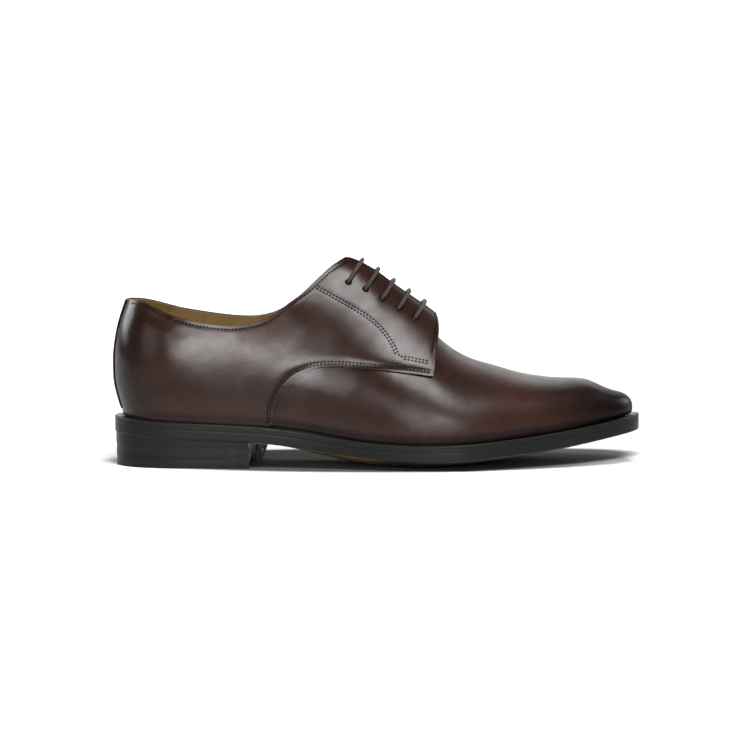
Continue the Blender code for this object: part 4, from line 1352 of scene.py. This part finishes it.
def quarter_sheets(columns, rows, outer, thickness, edge, seams=False, drop=0.0, short=0.0):
    """Both quarters as one sheet round the heel, from one flap's front edge to the other's.

    drop is the share that the topline is lowered by. short is the share that the front and the foot are
    cut back by.
    """
    edges = {}
    for side in (LATERAL, MEDIAL):
        (foot, top_back), (seam, top_front) = quarter_edges(side)
        edges[side] = []
        for low, high in ((foot, top_back), (seam, top_front)):
            pair = [spread(line[:, 0], line[:, 1], side, 1.0, RULER_POINTS) for line in (low, high)]
            edges[side].append([np.stack(line, axis=1) for line in pair])

    def coordinates(u, v):
        side = np.where(u < 0.5, LATERAL, MEDIAL)
        along = np.abs(2 * u - 1) * (1 - short)
        at = np.linspace(0, 1, RULER_POINTS)
        place = np.empty((2, len(u)))
        for one in (LATERAL, MEDIAL):
            for part in (0, 1):
                picked = (side == one) & ((along > QUARTER_BACK) == bool(part))
                start, span = (QUARTER_BACK, 1 - QUARTER_BACK) if part else (0, QUARTER_BACK)
                here = (along[picked] - start) / span
                for i in (0, 1):
                    low, high = (np.interp(here, at, line[:, i]) for line in edges[one][part])
                    place[i, picked] = low + (high - low) * (short + v[picked] * (1 - drop - short))
        return place[0], place[1], side, np.ones(len(u))

    return leather_sheet(columns, rows, coordinates, outer, thickness, edge, seams=seams, rolled=seams)


def eyelet_punch():
    """Pins through every eyelet, which the quarters are punched with."""
    made = bmesh.new()
    for centre, outward in eyelets():
        turned = Vector(outward).to_track_quat("Z", "Y").to_matrix().to_4x4()
        bmesh.ops.create_cone(
            made,
            cap_ends=True,
            segments=20,
            radius1=PUNCH_RADIUS,
            radius2=PUNCH_RADIUS,
            depth=PUNCH_DEPTH,
            matrix=Matrix.Translation(Vector(centre + SHIFT)) @ turned,
        )
    mesh = bpy.data.meshes.new("eyelet_punch")
    made.to_mesh(mesh)
    made.free()
    punch = bpy.data.objects.new("eyelet_punch", mesh)
    bpy.context.scene.collection.objects.link(punch)
    return punch


def punched(piece, punch):
    """Cuts the pins out of the piece's mesh."""
    cut = piece.modifiers.new("eyelets", "BOOLEAN")
    cut.operation = "DIFFERENCE"
    cut.object = punch
    mesh = mesh_of(piece)
    piece.modifiers.remove(cut)
    old = piece.data
    piece.data = mesh
    bpy.data.meshes.remove(old)
    mesh.name = piece.name
    smooth(mesh)


def vamp(materials):
    """The vamp over the forefoot, from under one quarter to under the other."""
    seam = quarter_edges(LATERAL)[1][0]
    rear = vamp_rear_turn()

    def coordinates(u, v):
        wide = (2 * v - 1) * (1 + FEATHER_SHARE)
        side = np.where(wide < 0, LATERAL, MEDIAL)
        rise = 1 - np.abs(wide)
        under = np.interp(rise, seam[:20, 1], seam[:20, 0]) - VAMP_LAP
        reach = ease((rise - VAMP_TURN_IN) / VAMP_TURN_IN_SPAN)
        start = under + (rear - under) * reach
        return start + (math.pi - start) * u, rise, side, np.zeros(len(u))

    made = leather_sheet(VAMP_COLUMNS, VAMP_ROWS, coordinates, 0.0, UPPER_WALL, 0.5 * MM, closed_end=True)
    return finished(made, "vamp", materials)


def tongue(materials):
    """Leather tongue under the flaps, from the vamp's rear edge to the top of the instep."""
    root = vamp_rear_turn() - math.radians(0.3)
    tip = float(turn_at(TONGUE_TOP * SHOE_LENGTH, INSTEP_PEAK))

    def coordinates(u, v):
        turn = root + (tip - root) * v
        across = 2 * u - 1
        near_tip = np.clip((v - 1) / TONGUE_TIP_SHARE + 1, 0, 1)
        rounding = np.sqrt(1 - TONGUE_TIP_ROUNDING * near_tip**2)
        widening = TONGUE_ROOT_WIDTH + (1 - TONGUE_ROOT_WIDTH) * v
        reach = np.abs(across) * TONGUE_WIDTH / 2 * widening * rounding
        side = np.where(across < 0, LATERAL, MEDIAL)
        lift = -TONGUE_SINK / FLAP_LIFT * ease(v / TONGUE_SINK_SHARE)
        wanted = np.round(np.stack([turn, side, reach, lift], axis=1), 7)
        keys, again = np.unique(wanted, axis=0, return_inverse=True)
        rise = np.array([float(rise_at_reach(t, s, r, k)[0]) for t, s, r, k in keys])
        return turn, rise[again.reshape(-1)], side, lift

    made = leather_sheet(TONGUE_COLUMNS, TONGUE_ROWS, coordinates, 0.0, TONGUE_WALL, 0.5 * MM)
    return finished(made, "tongue_leather", materials, "tongue")


def back_strip(materials):
    """Narrow stay over the seam at the middle of the back."""
    levels = np.linspace(0, 1, 41)
    rises = 0.012 + (strip_top() - 0.006 - 0.012) * levels
    widest = {side: strip_turn(rises, side, STRIP_WIDTH / 2) for side in (LATERAL, MEDIAL)}

    def coordinates(u, v):
        across = 2 * v - 1
        side = np.where(across < 0, LATERAL, MEDIAL)
        reaches = [np.interp(u, levels, widest[one]) for one in (LATERAL, MEDIAL)]
        wide = np.where(across < 0, *reaches)
        return wide * np.abs(across), np.interp(u, levels, rises), side, np.ones(len(u))

    outer = QUARTER_STEP + STRIP_LEATHER
    thickness = STRIP_LEATHER - 0.05 * MM
    made = leather_sheet(STRIP_COLUMNS, STRIP_ROWS, coordinates, outer, thickness, 0.25 * MM)
    return finished(made, "back_strip", materials)


def stitches(material):
    """Every visible stitch as a small lozenge of thread, pressed into the leather."""
    whole = bmesh.new()
    for row in ROWS:
        made = bmesh.new()
        middle, tangent, normal = row_points(row, STITCH_PITCH)
        sunk = relief(middle, row.side, True)
        for spot, ahead, outward, height in zip(middle, tangent, normal, sunk):
            across = np.cross(outward, ahead)
            centre = spot + SHIFT + outward * (height + STITCH_PROUD)
            axes = Matrix([across, outward, ahead]).transposed().to_4x4()
            size = Matrix.Diagonal((STITCH_WIDTH / 2, STITCH_THICKNESS / 2, STITCH_LENGTH / 2, 1))
            bmesh.ops.create_uvsphere(
                made,
                u_segments=8,
                v_segments=5,
                radius=1.0,
                matrix=Matrix.Translation(Vector(centre)) @ axes @ size,
            )
        one_row = bpy.data.meshes.new("row")
        made.to_mesh(one_row)
        made.free()
        whole.from_mesh(one_row)
        bpy.data.meshes.remove(one_row)
    return finished(whole, "seam_threads", [material], merge=1e-8)


def tube(path, radius, around):
    """Cord along a path, closed at its ends. Its UV map counts millimetres along and turns around."""
    path = np.asarray(path, float)
    count = len(path)
    tangent = np.gradient(path, axis=0)
    tangent /= np.linalg.norm(tangent, axis=1, keepdims=True)
    first = np.cross(tangent[0], [0.3, 0.2, 1.0])
    frames = [first / np.linalg.norm(first)]
    for i in range(1, count):
        kept = frames[-1] - tangent[i] * (frames[-1] @ tangent[i])
        frames.append(kept / np.linalg.norm(kept))
    one = np.array(frames)
    two = np.cross(tangent, one)
    run = run_along(path)
    made = bmesh.new()
    bmesh.ops.create_grid(made, x_segments=count - 1, y_segments=around, size=0.5)
    layer = made.loops.layers.uv.new("UVMap")
    for face in made.faces:
        for loop in face.loops:
            step = int(round((loop.vert.co.x + 0.5) * (count - 1)))
            loop[layer].uv = (run[step] / MM, loop.vert.co.y + 0.5)
    for corner in made.verts:
        step = int(round((corner.co.x + 0.5) * (count - 1)))
        angle = (corner.co.y + 0.5) * 2 * math.pi
        corner.co = path[step] + radius * (math.cos(angle) * one[step] + math.sin(angle) * two[step])
    bmesh.ops.remove_doubles(made, verts=made.verts, dist=1e-7)
    ends = [edge for edge in made.edges if edge.is_boundary]
    bmesh.ops.holes_fill(made, edges=ends)
    return made


def smoothed(points, rounds):
    """The path with its corners worn down, its ends kept."""
    points = np.asarray(points, float)
    for _ in range(rounds):
        points[1:-1] = 0.25 * points[:-2] + 0.5 * points[1:-1] + 0.25 * points[2:]
    return points


def resampled(points, step):
    """The path with its points a step apart."""
    points = np.asarray(points, float)
    run = run_along(points)
    at = np.linspace(0, run[-1], int(run[-1] / step))
    return np.stack([np.interp(at, run, points[:, i]) for i in range(3)], axis=1)


def lace(material):
    """One cord through all eyelets: straight bars on top, and runs under the flaps between the pairs."""
    stations = eyelet_stations()
    corners = []
    for pair, first in LACE_ORDER:
        corners += lace_bar(stations[pair], first)
    path = smoothed(resampled(rounded(corners, LACE_BEND), LACE_STEP), 12)
    made = tube(path + SHIFT, LACE_DIAMETER / 2, LACE_SIDES)
    return finished(made, "lace_cord", [material], "lace", merge=1e-8)


def ring(count):
    """Edge points of the sole once round, from the heel along the lateral edge, with outward directions."""
    turn = np.arange(count) * 2 * math.pi / count
    side = np.where(turn < math.pi, LATERAL, MEDIAL)
    share = (1 - np.cos(turn)) / 2
    x = share * SHOE_LENGTH
    points = np.stack([x, sole_centre(share) + side * sole_half(share)], axis=1)
    ahead = np.roll(points, -1, axis=0) - np.roll(points, 1, axis=0)
    outward = np.stack([ahead[:, 1], -ahead[:, 0]], axis=1)
    outward /= np.linalg.norm(outward, axis=1, keepdims=True)
    middle = np.stack([x, sole_centre(share_of(x))], axis=1)
    return points, outward, middle


def sole_layer(name, bottom_drop, top_drop, round_top, round_bottom, materials, node):
    """Layer of the sole with rounded edges. Its rows run from the top's middle over the edge."""
    count = 2 * SOLE_STATIONS
    points, outward, middle = ring(count)
    # Each row: share of the way out, distance in from the edge, share of the way down, and a drop.
    profile = [(share, round_top, 0.0, 0.0) for share in (0.0, 0.3, 0.6, 0.85)]
    for angle in np.radians((0, 30, 60, 90)):
        profile.append((1.0, round_top * (1 - math.sin(angle)), 0.0, round_top * (1 - math.cos(angle))))
    profile += [(1.0, 0.0, level, 0.0) for level in (0.2, 0.4, 0.6, 0.8)]
    for angle in np.radians((90, 60, 30, 0)):
        back, lift = round_bottom * (1 - math.sin(angle)), round_bottom * (1 - math.cos(angle))
        profile.append((1.0, back, 1.0, -lift))
    profile += [(share, round_bottom, 1.0, 0.0) for share in (0.85, 0.6, 0.3, 0.0)]
    made = bmesh.new()
    bmesh.ops.create_grid(made, x_segments=count, y_segments=len(profile) - 1, size=0.5)
    for face in made.faces:
        centre = face.calc_center_median().y + 0.5
        face.material_index = int(centre * (len(profile) - 1) > len(profile) - 7.5)
    table = np.array(profile)
    grid = np.array([corner.co[:] for corner in made.verts])
    at = np.round((grid[:, 0] + 0.5) * count).astype(int) % count
    row = table[np.round((grid[:, 1] + 0.5) * (len(profile) - 1)).astype(int)]
    edge = points[at] - outward[at] * row[:, 1:2]
    flat = middle[at] + (edge - middle[at]) * row[:, 0:1]
    share = share_of(flat[:, 0])
    across = np.where(row[:, 0] >= 1, 1.0, across_of(flat[:, 0], flat[:, 1]))
    ends = (share < 1e-5) | (share > 1 - 1e-5)
    height = sole_top(share, np.where(ends, 1.0, across))
    high = np.maximum(height - top_drop, 0)
    low = np.maximum(height - bottom_drop, 0)
    z = high + (low - high) * row[:, 2] - row[:, 3]
    for corner, x, y, level in zip(made.verts, flat[:, 0], flat[:, 1], z):
        corner.co = Vector((x, y, level)) + Vector(SHIFT)
    return finished(made, name, materials, node, merge=2e-5)


def insole(materials):
    """Padded sock under the foot, hung to the sole's hollow. Its rim is dark."""

    def coordinates(u, v):
        inside = -UPPER_WALL - 2 * CLEARANCE
        near = upper_point(u * math.pi, -FEATHER_SHARE, LATERAL, 0.0, inside)
        far = upper_point(u * math.pi, -FEATHER_SHARE, MEDIAL, 0.0, inside)
        points = near + (far - near) * v[:, None]
        across = across_of(points[:, 0], points[:, 1])
        points[:, 2] = sole_top(share_of(points[:, 0]), across) + INSOLE_GAP
        return points

    made = bmesh.new()
    bmesh.ops.create_grid(made, x_segments=SOCK_COLUMNS, y_segments=SOCK_ROWS, size=0.5)
    flat = np.array([corner.co[:] for corner in made.verts]) + 0.5
    low = coordinates(flat[:, 0], flat[:, 1])
    for corner, point in zip(made.verts, low + SHIFT):
        corner.co = point
    bmesh.ops.remove_doubles(made, verts=made.verts, dist=1e-6)
    found = bmesh.ops.extrude_face_region(made, geom=made.faces[:])
    raised = [item for item in found["geom"] if isinstance(item, bmesh.types.BMVert)]
    bmesh.ops.translate(made, vec=(0, 0, INSOLE_THICKNESS), verts=raised)
    upper_side = set(raised)
    edges = []
    for face in walls(made, upper_side):
        edges += [edge for edge in face.edges if all(corner in upper_side for corner in edge.verts)]
    bmesh.ops.bevel(
        made,
        geom=list(set(edges)),
        offset=0.8 * MM,
        segments=3,
        profile=0.5,
        affect="EDGES",
        clamp_overlap=True,
    )
    made.normal_update()
    for face in made.faces:
        face.material_index = int(abs(face.normal.z) < 0.6)
    return finished(made, "insole_sock", materials, "insole")


def heel_layer(name, low, high, materials, node, edge=0.16 * MM):
    """One layer of the heel between two heights. A high of None is the outsole's underside."""

    def breast(v):
        slant = BREAST_LATERAL + (BREAST_MEDIAL - BREAST_LATERAL) * v
        return slant - BREAST_HOLLOW * (1 - (2 * v - 1) ** 2)

    made = bmesh.new()
    bmesh.ops.create_grid(made, x_segments=HEEL_STATIONS, y_segments=HEEL_ROWS, size=0.5)
    taper = 1 - HEEL_TAPER * (1 - low / HEEL_SEAT_HEIGHT)
    for corner in made.verts:
        u, v = corner.co.x + 0.5, corner.co.y + 0.5
        v = (1 - math.cos(v * math.pi)) / 2
        share = (1 - math.cos(u * math.pi / 2)) * breast(v) / SHOE_LENGTH
        y = float(sole_centre(share)) + (2 * v - 1) * float(sole_half(share)) * taper
        x = share * SHOE_LENGTH + (1 - taper) * HEEL_END_RADIUS * math.cos(u * math.pi / 2)
        corner.co = (x, y, low)
    bmesh.ops.remove_doubles(made, verts=made.verts, dist=1e-6)
    found = bmesh.ops.extrude_face_region(made, geom=made.faces[:])
    raised = [item for item in found["geom"] if isinstance(item, bmesh.types.BMVert)]
    for corner in raised:
        if high is None:
            under = float(sole_top(share_of(corner.co.x), across_of(corner.co.x, corner.co.y)))
            corner.co.z = under - MIDSOLE_THICKNESS - OUTSOLE_THICKNESS - HEEL_SEAM
        else:
            corner.co.z = high
    breast_share = BREAST_MEDIAL / SHOE_LENGTH
    corner = Vector((BREAST_MEDIAL, float(sole_centre(breast_share) + sole_half(breast_share)), 0))
    slope = Vector((1, CORNER_CUT_SKEW, -CORNER_CUT_WIDTH / CORNER_CUT_HEIGHT)).normalized()
    bmesh.ops.bisect_plane(
        made,
        geom=[*made.verts, *made.edges, *made.faces],
        plane_co=corner - Vector((CORNER_CUT_WIDTH, 0, 0)),
        plane_no=slope,
        clear_outer=True,
    )
    open_edges = [item for item in made.edges if item.is_boundary]
    if open_edges:
        bmesh.ops.holes_fill(made, edges=open_edges)
    bmesh.ops.dissolve_degenerate(made, edges=made.edges, dist=1e-6)
    bmesh.ops.recalc_face_normals(made, faces=made.faces)
    joined = [item for item in made.edges if len(item.link_faces) == 2]
    sharp = [item for item in joined if item.calc_face_angle(0) > math.radians(40)]
    bmesh.ops.bevel(
        made, geom=sharp, offset=edge, segments=2, profile=0.5, affect="EDGES", clamp_overlap=True
    )
    bmesh.ops.translate(made, vec=Vector(SHIFT), verts=made.verts)
    for face in made.faces:
        if len(materials) > 1 and face.normal.z < -0.9:
            face.material_index = 1
    return finished(made, name, materials, node, flat_walls=True)


def camera():
    lens = bpy.data.cameras.new("camera")
    lens.lens = CAMERA_LENS
    lens.sensor_width = 36
    lens.clip_end = 50
    seen = bpy.data.objects.new("camera", lens)
    bpy.context.scene.collection.objects.link(seen)
    seen.location = CAMERA_PLACE
    seen.rotation_euler = (math.pi / 2 - CAMERA_DOWN, 0, 0)
    bpy.context.scene.camera = seen


def soft_light(name, place, aim, width, height, watts):
    lamp = bpy.data.lights.new(name, "AREA")
    lamp.energy = watts
    lamp.shape = "RECTANGLE"
    lamp.size = width
    lamp.size_y = height
    box = bpy.data.objects.new(name, lamp)
    bpy.context.scene.collection.objects.link(box)
    box.location = place
    box.rotation_euler = (Vector(aim) - Vector(place)).to_track_quat("-Z", "Y").to_euler()


def studio():
    """Pale floor with a painted shadow under the shoe, sweeping up behind it, and large soft lights."""
    made = bmesh.new()
    bmesh.ops.create_grid(made, x_segments=4, y_segments=60, size=1.0)
    for corner in made.verts:
        run = (corner.co.y + 1) * FLOOR_LENGTH / 2
        bend = min(max((run - FLOOR_RUN) / FLOOR_BEND, 0), 1) * math.pi / 2
        y = min(run, FLOOR_RUN) - FLOOR_FRONT + math.sin(bend) * FLOOR_SWEEP
        z = (1 - math.cos(bend)) * FLOOR_SWEEP + max(run - FLOOR_RUN - FLOOR_BEND, 0)
        corner.co = (corner.co.x * FLOOR_HALF_WIDTH, y, z)
    mesh = bpy.data.meshes.new("floor")
    made.to_mesh(mesh)
    made.free()
    mesh.shade_smooth()
    mesh.materials.append(floor_paint())
    floor = bpy.data.objects.new("floor", mesh)
    bpy.context.scene.collection.objects.link(floor)
    world = bpy.data.worlds.new("studio")
    world.use_nodes = True
    world.node_tree.nodes["Background"].inputs["Color"].default_value = (1, 1, 1, 1)
    world.node_tree.nodes["Background"].inputs["Strength"].default_value = WORLD_STRENGTH
    bpy.context.scene.world = world
    for lamp in LAMPS:
        soft_light(*lamp)
    bpy.context.scene.view_settings.view_transform = "Standard"


def dress_upper(leather, inked, lining, lining_rim):
    """Quarters and their lining, punched for the lace, with the vamp, the back strip and the tongue."""
    sheet = quarter_sheets(
        QUARTER_COLUMNS, QUARTER_ROWS, QUARTER_STEP, QUARTER_LEATHER, 0.45 * MM, seams=True
    )
    quarters = finished(sheet, "quarters", [leather, inked], "upper")
    sheet = quarter_sheets(
        LINING_COLUMNS,
        LINING_ROWS,
        QUARTER_STEP - QUARTER_LEATHER - 0.03 * MM,
        UPPER_WALL - QUARTER_LEATHER - 0.05 * MM,
        0.3 * MM,
        drop=0.006,
        short=0.012,
    )
    inner = finished(sheet, "quarter_lining", [lining, lining_rim])
    punch = eyelet_punch()
    punched(quarters, punch)
    punched(inner, punch)
    bpy.data.objects.remove(punch)
    front = vamp([leather, inked])
    shade_seams(quarters, False)
    shade_seams(front, True)
    strip = back_strip([leather, inked])
    for name in ("seam", "rim"):
        painted(strip, name, np.zeros(len(strip.data.vertices)))
    tongue([leather, inked])


def dress_sole():
    """Welt and outsole, with the waxed edge round both and the tan waist underneath."""
    edge = waxed_edge()
    sole_layer(
        "welt", MIDSOLE_THICKNESS, 0, 0.8 * MM, 0.12 * MM, [edge, edge], "midsole_welt"
    )
    sole_layer(
        "leather_outsole",
        MIDSOLE_THICKNESS + OUTSOLE_THICKNESS,
        MIDSOLE_THICKNESS + SOLE_SEAM,
        0.12 * MM,
        0.7 * MM,
        [edge, sole_underside()],
        "outsole",
    )


def dress_heel():
    """Rubber top piece and the two leather lifts."""
    edge = waxed_edge("waxed_heel_lifts", lines=True)
    piece_top = TOP_PIECE_THICKNESS
    lift_top = piece_top + HEEL_LIFT_THICKNESS
    rubber = [edge, heel_rubber()]
    heel_layer("heel_rubber_piece", 0.0, piece_top, rubber, "heel_top_piece")
    heel_layer("heel_lift_low", piece_top + HEEL_SEAM, lift_top, [edge], "heel_lift_lower")
    heel_layer("heel_lift_high", lift_top + HEEL_SEAM, None, [edge], "heel_lift_upper")


def build():
    leather = burnished_leather()
    inked = cut_edge()
    lining = lining_leather()
    dress_upper(leather, inked, lining, lining_edge())
    stitches(thread())
    lace(lace_cord())
    insole([lining, inked])
    dress_sole()
    dress_heel()


camera()
studio()
build()
